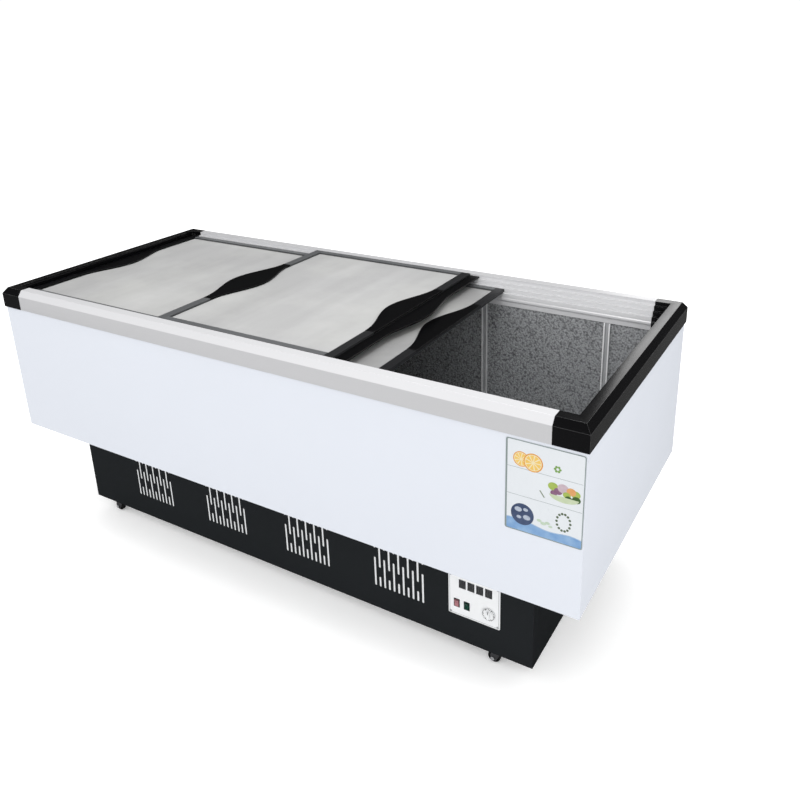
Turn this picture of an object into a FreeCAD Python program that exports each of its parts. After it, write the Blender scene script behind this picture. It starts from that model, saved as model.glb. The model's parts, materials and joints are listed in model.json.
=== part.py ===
import FreeCAD, Part
import math
import os
import re
import Sketcher

# Island chest freezer with three sliding glass lids, 2.0 m long, on a black plinth with four casters.
# Millimetres. Origin on the floor under the middle of the cabinet; +X to the right as seen from the
# front, +Y to the back, +Z up. Every size below is a cell of the Dims sheet and drives the solids.

SIZES = {
    # overall
    "length_all": 2000, "width_all": 860, "height_all": 850,
    # top frame: two aluminium rails along the front and back, a plastic cap on each end
    "cap_length": 85, "cap_bar": 40, "cap_wall": 3, "rail_wall": 2.5, "crown_inset": 14,
    "ridge_z": 832, "frame_bottom_z": 786, "skirt_z": 768, "bead_z": 790, "bead_half": 6, "bead_depth": 3,
    "ledge_z": 800,
    # lids: three track levels, each lower and narrower than the one above
    "lid_reach": 385, "lid_step": 10, "lid_gap": 2, "level_pitch": 14, "lid_thickness": 12,
    "lid_end_strip": 28, "lid_side_strip": 20, "glass_thickness": 4, "glass_drop": 5, "glass_groove": 6,
    "glider_length": 60, "glider_width": 8, "glider_height": 1.2, "glider_clearance": 0.3,
    "left_lid_low": -945, "left_lid_high": -235, "middle_lid_low": -325, "middle_lid_high": 307,
    "right_lid_low": -270, "right_lid_high": 440,
    "handle_half": 195, "handle_bulge": 47, "handle_lip": 8, "handle_overlap": 0.6,
    "grip_reach": 34, "grip_bulge": 28, "grip_drop": 6, "grip_depth": 5,
    # cabinet
    "panel_inset": 4, "sheet": 1, "cabinet_bottom_z": 350, "flange": 12,
    "liner_length": 1870, "liner_width": 719, "liner_floor_z": 420,
    "guide_near": 375, "guide_far": 785, "guide_width": 20, "guide_depth": 6, "guide_wall": 1.5,
    "coil_radius": 4, "coil_gap": 5, "coil_bend": 20, "coil_low_z": 450, "coil_pitch": 60,
    "plate_low_x": 807, "plate_high_x": 993, "plate_low_z": 541, "plate_high_z": 777,
    "plate_thickness": 0.8, "plate_corner": 5,
    # plinth
    "plinth_length": 1690, "plinth_width": 644, "plinth_sheet": 1.2, "skirt_bottom_z": 47,
    "tray_z": 70, "tray_sheet": 2,
    "grille_first_x": -529, "grille_pitch": 323, "slot_pitch": 15.6, "slot_width": 6.5,
    "slot_low_z": 124, "slot_high_z": 286, "slot_short": 34, "slot_long": 97,
    "pad_length": 178, "pad_thickness": 6,
    # control panel
    "control_low_x": 600, "control_high_x": 752, "control_low_z": 133, "control_high_z": 265,
    "control_thickness": 2, "control_margin": 12, "control_corner": 4,
    "vent_first_x": 641.5, "vent_pitch": 25.7, "vent_width": 21, "vent_low_z": 223, "vent_high_z": 251,
    "switch_z": 172, "power_switch_x": 625, "light_switch_x": 655, "switch_pivot_y": -323,
    "rocker_half_width": 6, "rocker_half_height": 9.5, "rocker_front": 5, "rocker_dish": 2,
    "rocker_back": 5, "rocker_pin": 1.5, "pin_clearance": 0.05, "rocker_tilt": 8,
    "pin_reach": 1, "pin_play": 0.2,
    "housing_half_width": 8.5, "housing_half_height": 13, "housing_wall": 2, "housing_depth": 24,
    "dial_x": 720, "dial_z": 173, "dial_skirt": 19, "dial_knob": 12.5, "dial_skirt_depth": 3,
    "dial_grip_half": 4, "dial_grip_depth": 4, "dial_grip_round": 3, "dial_shaft_length": 20,
    "dial_depth": 4.5, "dial_shaft": 3, "dial_gap": 0.5, "thermostat_half": 19, "thermostat_depth": 32,
    "screw_head": 4, "screw_head_depth": 1.6, "screw_shank": 1.6, "screw_length": 6, "screw_inset": 6,
    # refrigeration
    "compressor_x": 300, "compressor_y": 40, "compressor_radius": 85, "compressor_height": 190,
    "compressor_round": 40, "foot_radius": 12, "foot_height": 18, "foot_x": 95, "foot_y": 65,
    "base_plate": 4, "plate_margin": 20,
    "fan_x": -200, "fan_z": 208, "fan_radius": 106, "fan_hub": 22, "fan_hub_depth": 24,
    "fan_hub_y": -206, "fan_shaft": 4, "fan_shaft_length": 30, "motor_bore_depth": 26, "blade_root": 4,
    "blade_chord": 62, "blade_sheet": 1.5, "blade_pitch": 24,
    "ring_radius": 114, "bracket_half": 128, "bracket_y": -218, "bracket_sheet": 2, "motor_radius": 36,
    "motor_front_y": -174, "motor_depth": 66, "strap_half": 14,
    "condenser_y": -262, "condenser_half_depth": 28, "fin_first_x": -380, "fin_pitch": 12,
    "fin_rail": 2, "fin_rail_depth": 6, "tube_end": 24, "tube_far_end": 12, "tube_bend_gap": 0.5,
    "fin_sheet": 0.8, "fin_low_z": 84, "fin_high_z": 336, "pass_low_z": 100, "pass_pitch": 31,
    "drier_radius": 11, "drier_length": 110, "drier_y": -120, "drier_z": 82, "drier_x": 60,
    "drier_round": 5, "pipe_radius": 3.2, "pipe_bend": 18, "discharge_z": 180, "discharge_reach": 50,
    "discharge_back": 60, "header_reach": 40, "suction_bend": 25, "suction_z": 190, "suction_reach": 55,
    "gland_x": -700, "gland_z": 110, "gland_nut": 13, "gland_bore": 4, "gland_depth": 14,
    # casters
    "caster_x": 743, "caster_y": 297, "trail": 17, "wheel_radius": 18, "wheel_width": 15,
    "leg_toe": 10, "leg_heel": 14, "leg_tip": 8, "axle_head": 6, "wheel_round": 3,
    "axle_radius": 4, "running_gap": 0.05, "fork_gap": 1.5, "fork_sheet": 3,
    "crown_low_z": 54, "crown_radius": 16, "race_low_z": 58, "race_radius": 16, "kingpin": 5,
    "kingpin_top_z": 66, "caster_plate_x": 30, "caster_plate_y": 23, "caster_plate": 3,
}
GRILLES = 4
COLUMNS = 11
FINS = 30
PASSES = 8
COIL_LAPS = 5
BLADES = 5

DOC = FreeCAD.newDocument("chest_freezer")
SHEET = DOC.addObject("Spreadsheet::Sheet", "Dims")
for row, (alias, value) in enumerate(SIZES.items(), start=1):
    SHEET.set("A%d" % row, alias)
    SHEET.set("B%d" % row, str(value))
    SHEET.setAlias("B%d" % row, alias)
DOC.recompute()
WORKING = DOC.addObject("Spreadsheet::Sheet", "Working")

PARTS = []
AXES = {
    "X": FreeCAD.Rotation(FreeCAD.Vector(0, 1, 0), 90),
    "Y": FreeCAD.Rotation(FreeCAD.Vector(1, 0, 0), -90),
    "Z": FreeCAD.Rotation(),
}


def size(alias):
    """One cell of the sheet as a number."""
    return float(SHEET.get(alias))


def formula(text):
    """Expression in which every cell's name stands for its value."""
    return re.sub(r"[a-z][a-z_]+",
                  lambda word: "Dims." + word.group() if word.group() in SIZES else word.group(), text)


def bind(item, prop, text):
    """Tie a property to a formula."""
    item.setExpression(prop, formula(text))


def amount(text):
    """A formula's present value."""
    WORKING.set("A1", "=" + formula(text))
    WORKING.recompute()
    return float(WORKING.get("A1"))


def kept(item):
    """A finished sub-part, written to a file of its own."""
    PARTS.append(item)
    return item


def slab(label, x, y, z):
    """Box given by its (low, high) along each axis."""
    box = DOC.addObject("Part::Box", label)
    for length, base, (low, high) in (("Length", "x", x), ("Width", "y", y), ("Height", "z", z)):
        bind(box, length, "(%s) - (%s)" % (high, low))
        bind(box, ".Placement.Base." + base, low)
    return box


def rod(label, axis, start, radius, length):
    """Cylinder along one axis from the middle of its first end."""
    cylinder = DOC.addObject("Part::Cylinder", label)
    cylinder.Placement.Rotation = AXES[axis]
    bind(cylinder, "Radius", radius)
    bind(cylinder, "Height", length)
    for base, text in zip("xyz", start):
        bind(cylinder, ".Placement.Base." + base, text)
    return cylinder


def cut(label, base, *tools):
    """Base with the tools taken away; tools don't overlap each other."""
    result = DOC.addObject("Part::Cut", label)
    result.Base = base
    result.Tool = tools[0] if len(tools) == 1 else group(label + "_tools", *tools)
    return result


def join(label, *pieces):
    """One solid of several that touch."""
    result = DOC.addObject("Part::MultiFuse", label)
    result.Shapes = list(pieces)
    return result


def group(label, *pieces):
    """Separate solids held in one node."""
    result = DOC.addObject("Part::Compound", label)
    result.Links = list(pieces)
    return result


def overlap(label, first, second):
    """The space that two solids share."""
    result = DOC.addObject("Part::Common", label)
    result.Base = first
    result.Tool = second
    return result


def rounded(label, base, axis, radius):
    """Base with its edges along one axis rounded."""
    DOC.recompute()
    edges = []
    for number, edge in enumerate(base.Shape.Edges, start=1):
        straight = isinstance(edge.Curve, Part.Line)
        if straight and abs(edge.tangentAt(edge.FirstParameter).dot(axis)) > 0.99:
            edges.append((number, radius, radius))
    result = DOC.addObject("Part::Fillet", label)
    result.Base = base
    result.Edges = edges
    return result


def rim_rounded(label, base, radius):
    """Cylinder with both rims rounded."""
    DOC.recompute()
    edges = []
    for number, edge in enumerate(base.Shape.Edges, start=1):
        if isinstance(edge.Curve, Part.Circle):
            edges.append((number, radius, radius))
    result = DOC.addObject("Part::Fillet", label)
    result.Base = base
    result.Edges = edges
    return result


def origin_plane(body, role):
    """One of a body's own origin planes."""
    for feature in body.Origin.OriginFeatures:
        if feature.Role == role:
            return feature
    raise ValueError("no plane " + role)


def outline(sketch, points):
    """Closed polygon in a sketch, each corner tied to its two formulas."""
    first = sketch.GeometryCount
    count = len(points)
    for number in range(count):
        ends = []
        for step in (number, number + 1):
            turn = 2 * math.pi * (step % count) / count
            ends.append(FreeCAD.Vector(math.cos(turn), math.sin(turn), 0))
        sketch.addGeometry(Part.LineSegment(*ends), False)
    for number in range(count):
        following = first + (number + 1) % count
        sketch.addConstraint(Sketcher.Constraint("Coincident", first + number, 2, following, 1))
    for number, corner in enumerate(points, start=first):
        for kind, text in zip(("DistanceX", "DistanceY"), corner):
            index = sketch.addConstraint(Sketcher.Constraint(kind, -1, 1, number, 1, 1.0))
            bind(sketch, "Constraints[%d]" % index, text)


def prism(label, role, loops, low, high):
    """PartDesign body padded between two places along the normal of an origin plane.

    YZ_Plane sketches (y, z) and pads along X, XZ_Plane (x, z) along Y, XY_Plane (x, y) along Z.
    """
    body = DOC.addObject("PartDesign::Body", label)
    sketch = body.newObject("Sketcher::SketchObject", label + "_outline")
    sketch.AttachmentSupport = [(origin_plane(body, role), "")]
    sketch.MapMode = "FlatFace"
    for points in loops:
        outline(sketch, points)
    offset = "-(%s)" % high if role == "XZ_Plane" else low
    bind(sketch, ".AttachmentOffset.Base.z", offset)
    pad = body.newObject("PartDesign::Pad", label + "_pad")
    pad.Profile = sketch
    bind(pad, "Length", "(%s) - (%s)" % (high, low))
    return body


def flipped(points, side):
    """Profile mirrored to the negative side where side is -1."""
    if side > 0:
        return points
    return [("-(%s)" % across, up) for across, up in points]


def span(low, high, side):
    """(low, high) mirrored to the negative side where side is -1."""
    if side > 0:
        return low, high
    return "-(%s)" % high, "-(%s)" % low


def tube(points, radius, bend):
    """Round bar along straight runs joined by tangent arcs."""
    edges = []
    start = points[0]
    for before, corner, after in zip(points, points[1:], points[2:]):
        back = (before - corner).normalize()
        ahead = (after - corner).normalize()
        half = back.getAngle(ahead) / 2
        reach = bend / math.tan(half)
        inward = (back + ahead).normalize()
        first = corner + back * reach
        middle = corner + inward * (bend / math.sin(half) - bend)
        last = corner + ahead * reach
        edges.append(Part.LineSegment(start, first).toShape())
        edges.append(Part.Arc(first, middle, last).toShape())
        start = last
    edges.append(Part.LineSegment(start, points[-1]).toShape())
    path = Part.Wire(edges)
    ring = Part.Wire(Part.makeCircle(radius, points[0], points[1] - points[0]))
    return path.makePipeShell([ring], True, False)


def shaped(label, shape):
    """Sub-part whose solid is made directly."""
    item = DOC.addObject("Part::Feature", label)
    item.Shape = shape
    return item


# Shared places
HALF_X = "length_all/2"
HALF_Y = "width_all/2"
LEDGE = "height_all - lid_thickness"
TRACK_Y = "lid_reach + lid_gap"
INNER_Y = "lid_reach + lid_gap - 3*lid_step"
RAIL_END = "length_all/2 - cap_length"
PANEL_X = "length_all/2 - panel_inset"
PANEL_Y = "width_all/2 - panel_inset"
LINER_X = "liner_length/2"
LINER_Y = "liner_width/2"
PLINTH_X = "plinth_length/2"
PLINTH_Y = "plinth_width/2"
TRAY_TOP = "tray_z + tray_sheet"


# Top frame -----------------------------------------------------------------------------------------

def rail_loops(side):
    """Hollow section of a rail: sloped crown, three stepped tracks, bead and skirt inside."""
    outer = [(HALF_Y, "frame_bottom_z"), (HALF_Y, "ridge_z"), (HALF_Y + " - crown_inset", "height_all"),
             (TRACK_Y, "height_all")]
    chamber = [(HALF_Y + " - rail_wall", "frame_bottom_z + rail_wall"),
               (HALF_Y + " - rail_wall", "ridge_z - rail_wall/3"),
               (HALF_Y + " - crown_inset - rail_wall/3", "height_all - rail_wall"),
               (TRACK_Y + " + rail_wall", "height_all - rail_wall")]
    for level in range(3):
        ledge = "%s - %d*level_pitch" % (LEDGE, level)
        for step in (level, level + 1):
            across = "%s - %d*lid_step" % (TRACK_Y, step)
            outer.append((across, ledge))
            chamber.append((across + " + rail_wall", ledge + " - rail_wall"))
    outer += [(INNER_Y, "bead_z + bead_half"), (INNER_Y + " - bead_depth", "bead_z + bead_half/2"),
              (INNER_Y + " - bead_depth", "bead_z - bead_half/2"), (INNER_Y, "bead_z - bead_half"),
              (INNER_Y, "skirt_z"), (LINER_Y, "skirt_z"), (LINER_Y, "frame_bottom_z")]
    chamber.append((INNER_Y + " + rail_wall", "frame_bottom_z + rail_wall"))
    return [flipped(outer, side), flipped(chamber, side)]


def rail(label, side):
    return kept(prism(label, "YZ_Plane", rail_loops(side), "-(%s)" % RAIL_END, RAIL_END))


def end_cap(label, side):
    """Plastic end of the frame: a bar across the end with a corner block on each side."""
    low, high = span(RAIL_END, HALF_X, side)
    blocks = [prism("%s_block_%d" % (label, number), "YZ_Plane", rail_loops(face), low, high)
              for number, face in enumerate((-1, 1))]
    bar = [(HALF_X, "frame_bottom_z"), (HALF_X, "ridge_z"), (HALF_X + " - crown_inset", "height_all"),
           (HALF_X + " - cap_bar", "height_all"), (HALF_X + " - cap_bar", "ledge_z + 2*cap_wall"),
           (LINER_X + " - cap_wall", "ledge_z - cap_wall"), (LINER_X + " - cap_wall", "skirt_z"),
           (LINER_X, "skirt_z"), (LINER_X, "ledge_z - 2*cap_wall"),
           (HALF_X + " - cap_bar + cap_wall", "ledge_z + cap_wall"),
           (HALF_X + " - cap_bar + cap_wall", "height_all - cap_wall"),
           (HALF_X + " - crown_inset - cap_wall/2", "height_all - cap_wall"),
           (HALF_X + " - cap_wall", "ridge_z - cap_wall/3"), (HALF_X + " - cap_wall", "frame_bottom_z")]
    channel = prism(label + "_bar", "XZ_Plane", [flipped(bar, side)], "-(%s)" % HALF_Y, HALF_Y)
    roof_x = [(RAIL_END, "frame_bottom_z"), (HALF_X, "frame_bottom_z"), (HALF_X, "ridge_z"),
              (HALF_X + " - crown_inset", "height_all"), (RAIL_END, "height_all")]
    roof_y = [(HALF_Y, "frame_bottom_z"), (HALF_Y, "ridge_z"), (HALF_Y + " - crown_inset", "height_all"),
              ("crown_inset - " + HALF_Y, "height_all"), ("-(%s)" % HALF_Y, "ridge_z"),
              ("-(%s)" % HALF_Y, "frame_bottom_z")]
    above = overlap(label + "_above",
                    prism(label + "_roof_x", "XZ_Plane", [flipped(roof_x, side)], "-(%s)" % HALF_Y, HALF_Y),
                    prism(label + "_roof_y", "YZ_Plane", [roof_y], low, high))
    below = slab(label + "_below", span(RAIL_END, LINER_X, side),
                 ("-(%s)" % LINER_Y, LINER_Y), ("skirt_z", "frame_bottom_z"))
    envelope = join(label + "_envelope", above, below)
    return kept(overlap(label, join(label + "_all", channel, *blocks), envelope))


rail("front_rail", -1)
rail("rear_rail", 1)
end_cap("left_end_cap", -1)
end_cap("right_end_cap", 1)


# Cabinet -------------------------------------------------------------------------------------------

def long_panel(label, side):
    """Front or back skin: one sheet with its bottom edge turned in."""
    profile = [(PANEL_Y, "cabinet_bottom_z"), (PANEL_Y, "frame_bottom_z"),
               (PANEL_Y + " - sheet", "frame_bottom_z"), (PANEL_Y + " - sheet", "cabinet_bottom_z + sheet"),
               (PANEL_Y + " - sheet - flange", "cabinet_bottom_z + sheet"),
               (PANEL_Y + " - sheet - flange", "cabinet_bottom_z")]
    return kept(prism(label, "YZ_Plane", [flipped(profile, side)], "-(%s)" % PANEL_X, PANEL_X))


def end_panel(label, side):
    return kept(slab(label, span(PANEL_X + " - sheet", PANEL_X, side),
                     ("sheet - (%s)" % PANEL_Y, PANEL_Y + " - sheet"),
                     ("cabinet_bottom_z + sheet", "frame_bottom_z")))


def guide_channels():
    """White channels up the front and back walls of the tub that hold wire dividers."""
    pieces = []
    for side in (-1, 1):
        for place in ("guide_near", "guide_far"):
            for end in (-1, 1):
                name = "guide_%d" % len(pieces)
                middle = "%s*%d" % (place, end)
                wall = [("%s - guide_width/2" % middle, LINER_Y),
                        ("%s - guide_width/2" % middle, LINER_Y + " - guide_depth"),
                        ("%s - guide_width/2 + guide_wall" % middle, LINER_Y + " - guide_depth"),
                        ("%s - guide_width/2 + guide_wall" % middle, LINER_Y + " - guide_wall"),
                        ("%s + guide_width/2 - guide_wall" % middle, LINER_Y + " - guide_wall"),
                        ("%s + guide_width/2 - guide_wall" % middle, LINER_Y + " - guide_depth"),
                        ("%s + guide_width/2" % middle, LINER_Y + " - guide_depth"),
                        ("%s + guide_width/2" % middle, LINER_Y)]
                if side < 0:
                    wall = [(across, "-(%s)" % along) for across, along in wall]
                pieces.append(prism(name, "XY_Plane", [wall], "liner_floor_z", "skirt_z"))
    return kept(group("divider_guides", *pieces))


def evaporator():
    """Tube wound round the outside of the tub, rising one pitch on the left end of each lap."""
    x = size("liner_length") / 2 + size("sheet") + size("coil_gap") + size("coil_radius")
    y = size("liner_width") / 2 + size("sheet") + size("coil_gap") + size("coil_radius")
    points = []
    for lap in range(COIL_LAPS):
        z = size("coil_low_z") + lap * size("coil_pitch")
        points += [FreeCAD.Vector(-x, -y, z), FreeCAD.Vector(x, -y, z), FreeCAD.Vector(x, y, z),
                   FreeCAD.Vector(-x, y, z)]
    return kept(shaped("evaporator_tube", tube(points, size("coil_radius"), size("coil_bend"))))


long_panel("front_panel", -1)
long_panel("rear_panel", 1)
end_panel("left_side_panel", -1)
end_panel("right_side_panel", 1)
FLOOR_Y = PANEL_Y + " - sheet - flange"
kept(slab("cabinet_floor_pan", ("sheet - (%s)" % PANEL_X, PANEL_X + " - sheet"),
          ("-(%s)" % FLOOR_Y, FLOOR_Y), ("cabinet_bottom_z", "cabinet_bottom_z + sheet")))
TUB_OUTER = slab("tub_outer", ("-(%s) - sheet" % LINER_X, LINER_X + " + sheet"),
                 ("-(%s) - sheet" % LINER_Y, LINER_Y + " + sheet"),
                 ("liner_floor_z - sheet", "frame_bottom_z"))
TUB_INNER = slab("tub_inner", ("-(%s)" % LINER_X, LINER_X), ("-(%s)" % LINER_Y, LINER_Y),
                 ("liner_floor_z", "frame_bottom_z + sheet"))
kept(cut("inner_liner", TUB_OUTER, TUB_INNER))
COIL = evaporator()
FOAM_BLOCK = slab("foam_block", ("sheet - (%s)" % PANEL_X, PANEL_X + " - sheet"),
                  ("sheet - (%s)" % PANEL_Y, PANEL_Y + " - sheet"),
                  ("cabinet_bottom_z + sheet", "frame_bottom_z"))
kept(cut("foam_insulation", cut("foam_hollow", FOAM_BLOCK, TUB_OUTER), COIL))
guide_channels()
PLATE = slab("plate_blank", ("plate_low_x", "plate_high_x"),
             ("-(%s) - plate_thickness" % PANEL_Y, "-(%s)" % PANEL_Y), ("plate_low_z", "plate_high_z"))
kept(rounded("info_plate", PLATE, FreeCAD.Vector(0, 1, 0), size("plate_corner")))


# Lids ----------------------------------------------------------------------------------------------

def crescent(edge, inward, offset, swell, z):
    """Line along a lid's end that swells in the middle and runs out straight at both ends."""
    half = size("handle_half")
    steps = 12
    points = []
    for step in range(steps + 1):
        y = -half + 2 * half * step / steps
        swelling = swell * 0.5 * (1 + math.cos(math.pi * y / half))
        points.append(FreeCAD.Vector(size(edge) + inward * (offset + swelling), y, z))
    curve = Part.BSplineCurve()
    curve.interpolate(points)
    return curve.toShape(), points


def blade(inner, outer, depth):
    """Flat plate between two such lines."""
    (first, first_points), (second, second_points) = inner, outer
    ends = [Part.LineSegment(first_points[number], second_points[number]).toShape() for number in (0, -1)]
    face = Part.Face(Part.Wire(Part.__sortEdges__([first, second] + ends)))
    return face.extrude(FreeCAD.Vector(0, 0, -depth))


def handle(label, level, edge, inward, outer=""):
    """Crescent pull along a lid's end, swelling over the glass.

    With outer "leaf" it swells outwards as well; with "grip" it has a lower lip along the whole end.
    """
    top = size("height_all") - level * size("level_pitch")
    strip = size("lid_end_strip") + size("handle_overlap")
    shape = blade(crescent(edge, inward, strip, size("handle_bulge"), top),
                  crescent(edge, inward, 0, 0, top), size("glass_drop"))
    if outer == "leaf":
        wing = blade(crescent(edge, inward, 0, 0, top),
                     crescent(edge, inward, -0.4, -size("handle_bulge"), top), size("handle_lip"))
        shape = shape.fuse(wing).removeSplitter()
    if outer == "grip":
        low = top - size("grip_drop")
        reach = size("grip_reach")
        half = size("lid_reach")
        wing = blade(crescent(edge, inward, 0, 0, low),
                     crescent(edge, inward, -reach, -size("grip_bulge"), low), size("grip_depth"))
        lip = Part.makeBox(reach, 2 * half, size("grip_depth"),
                           FreeCAD.Vector(size(edge), -half, low - size("grip_depth")))
        depth = size("lid_end_strip") / 2
        corner = FreeCAD.Vector(size(edge) - depth, -size("handle_half"), low - size("grip_depth"))
        wall = Part.makeBox(depth, 2 * size("handle_half"), top - corner.z, corner)
        shape = shape.fuse([wing, lip, wall]).removeSplitter()
    return kept(shaped(label, shape))


def lid(name, level, handles):
    """Sliding lid: dark frame with a glass pane in its groove, gliders underneath and its handles."""
    low, high = name + "_low", name + "_high"
    top = "height_all - %d*level_pitch" % level
    reach = "(lid_reach - %d*lid_step)" % level
    bottom = top + " - lid_thickness"
    blank = slab(name + "_blank", (low, high), ("-" + reach, reach), (bottom + " + glider_height", top))
    window = slab(name + "_window", (low + " + lid_end_strip", high + " - lid_end_strip"),
                  ("lid_side_strip - " + reach, reach + " - lid_side_strip"), (bottom, top + " + sheet"))
    pane = (top + " - glass_drop - glass_thickness", top + " - glass_drop")
    glass = slab(name + "_glass",
                 (low + " + lid_end_strip - glass_groove", high + " - lid_end_strip + glass_groove"),
                 ("lid_side_strip - glass_groove - " + reach, reach + " - lid_side_strip + glass_groove"),
                 pane)
    kept(glass)
    frame = cut(name + "_open", cut(name + "_opened", blank, window), glass)
    for piece in handles:
        frame = cut("%s_less_%s" % (name, piece.Name), frame, piece)
    kept(frame).Label = name + "_frame"
    gliders = []
    for x in ((low, low + " + glider_length"), (high + " - glider_length", high)):
        for side in (-1, 1):
            y = span(reach + " - glider_width", reach, side)
            z = (bottom + " + glider_clearance", bottom + " + glider_height")
            gliders.append(slab("%s_glider_%d" % (name, len(gliders)), x, y, z))
    kept(group(name + "_gliders", *gliders))


lid("left_lid", 1, [handle("left_lid_handle", 1, "left_lid_low", 1)])
lid("middle_lid", 0, [handle("middle_lid_left_handle", 0, "middle_lid_low", 1, "leaf"),
                      handle("middle_lid_right_handle", 0, "middle_lid_high", -1, "grip")])
lid("right_lid", 2, [handle("right_lid_handle", 2, "right_lid_high", -1)])


# Plinth --------------------------------------------------------------------------------------------

def stadium(sketch, x, low, high):
    """Upright slot with round ends in a sketch, drawn where it belongs and then tied to the sheet."""
    radius = size("slot_width") / 2
    across = amount(x)
    first = sketch.GeometryCount
    up = FreeCAD.Vector(0, 0, 1)
    top = FreeCAD.Vector(across, amount(high) - radius, 0)
    bottom = FreeCAD.Vector(across, amount(low) + radius, 0)
    aside = FreeCAD.Vector(radius, 0, 0)
    sketch.addGeometry(Part.ArcOfCircle(Part.Circle(top, up, radius), 0, math.pi), False)
    sketch.addGeometry(Part.ArcOfCircle(Part.Circle(bottom, up, radius), math.pi, 2 * math.pi), False)
    sketch.addGeometry(Part.LineSegment(top - aside, bottom - aside), False)
    sketch.addGeometry(Part.LineSegment(bottom + aside, top + aside), False)
    cap, foot, left, right = range(first, first + 4)
    for ends in ((cap, 2, left, 1), (left, 2, foot, 1), (foot, 2, right, 1), (right, 2, cap, 1)):
        sketch.addConstraint(Sketcher.Constraint("Tangent", *ends))
    sketch.addConstraint(Sketcher.Constraint("Equal", cap, foot))
    for kind, arc, text in (("DistanceX", cap, x), ("DistanceX", foot, x),
                            ("DistanceY", cap, high + " - slot_width/2"),
                            ("DistanceY", foot, low + " + slot_width/2")):
        index = sketch.addConstraint(Sketcher.Constraint(kind, -1, 1, arc, 3, amount(text)))
        bind(sketch, "Constraints[%d]" % index, text)
    index = sketch.addConstraint(Sketcher.Constraint("Radius", cap, radius))
    bind(sketch, "Constraints[%d]" % index, "slot_width/2")


def grille_panel(label, side):
    """Long side of the plinth with its grilles: upright slots, long and short by turns."""
    low, high = span(PLINTH_Y + " - plinth_sheet", PLINTH_Y, side)
    edge = [("-(%s)" % PLINTH_X, "skirt_bottom_z"), (PLINTH_X, "skirt_bottom_z"),
            (PLINTH_X, "cabinet_bottom_z"), ("-(%s)" % PLINTH_X, "cabinet_bottom_z")]
    body = prism(label, "XZ_Plane", [edge], low, high)
    first_column = "grille_first_x - %d*slot_pitch" % (COLUMNS // 2)
    columns = (
        (first_column, (COLUMNS + 1) // 2, (("slot_low_z", "slot_low_z + slot_long"),
                                            ("slot_high_z - slot_short", "slot_high_z"))),
        (first_column + " + slot_pitch", COLUMNS // 2, (("slot_low_z", "slot_low_z + slot_short"),
                                                        ("slot_high_z - slot_long", "slot_high_z"))),
    )
    for x, count, slots in columns:
        name = "%s_slots_%d" % (label, count)
        sketch = body.newObject("Sketcher::SketchObject", name)
        sketch.AttachmentSupport = [(origin_plane(body, "XZ_Plane"), "")]
        sketch.MapMode = "FlatFace"
        bind(sketch, ".AttachmentOffset.Base.z", "-((%s) + (%s))/2" % (low, high))
        for bottom, top in slots:
            stadium(sketch, x, bottom, top)
        DOC.recompute()
        pocket = body.newObject("PartDesign::Pocket", name + "_cut")
        pocket.Profile = sketch
        bind(pocket, "Length", "3*plinth_sheet")
        pocket.Reversed = False
        pocket.Midplane = True
        DOC.recompute()
        pattern = body.newObject("PartDesign::MultiTransform", name + "_pattern")
        pattern.Originals = [pocket]
        steps = []
        for number, (pitch, repeats) in enumerate((("2*slot_pitch", count), ("grille_pitch", GRILLES))):
            step = body.newObject("PartDesign::LinearPattern", "%s_step_%d" % (name, number))
            step.Direction = (origin_axis(body), [""])
            bind(step, "Length", "%s*%d" % (pitch, repeats - 1))
            step.Occurrences = repeats
            steps.append(step)
        pattern.Transformations = steps
        body.Tip = pattern
        DOC.recompute()
    return body


def origin_axis(body):
    """The body's own X axis."""
    for feature in body.Origin.OriginFeatures:
        if feature.Role == "X_Axis":
            return feature
    raise ValueError("no X axis")


def control_slab(label, margin, low_y, high_y):
    return slab(label, ("control_low_x + " + margin, "control_high_x - " + margin), (low_y, high_y),
                ("control_low_z + " + margin, "control_high_z - " + margin))


PLATE_FRONT = "-(%s) - control_thickness" % PLINTH_Y


def panel_screws():
    pieces = []
    for x in ("control_low_x + screw_inset", "control_high_x - screw_inset"):
        for z in ("control_low_z + screw_inset", "control_high_z - screw_inset"):
            name = "screw_%d" % len(pieces)
            head = rod(name + "_head", "Y", (x, PLATE_FRONT + " - screw_head_depth", z),
                       "screw_head", "screw_head_depth")
            shank = rod(name + "_shank", "Y", (x, PLATE_FRONT, z), "screw_shank", "screw_length")
            pieces.append(join(name, head, shank))
    return kept(group("control_panel_screws", *pieces))


def rocker(label, x):
    """Rocking switch cap on its own pin, tipped to one side."""
    profile = [("-rocker_front", "-rocker_half_height"), ("rocker_dish - rocker_front", "0"),
               ("-rocker_front", "rocker_half_height"), ("rocker_back", "rocker_half_height"),
               ("rocker_back", "-rocker_half_height")]
    cap = prism(label + "_cap", "YZ_Plane", [profile], "-rocker_half_width", "rocker_half_width")
    pin = rod(label + "_pin", "X", ("-rocker_half_width - pin_reach", "0", "0"), "rocker_pin",
              "2*(rocker_half_width + pin_reach)")
    whole = join(label, cap, pin)
    whole.Placement.Rotation = FreeCAD.Rotation(FreeCAD.Vector(1, 0, 0), size("rocker_tilt"))
    for base, text in zip("xyz", (x, "switch_pivot_y", "switch_z")):
        bind(whole, ".Placement.Base." + base, text)
    return kept(whole)


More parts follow.
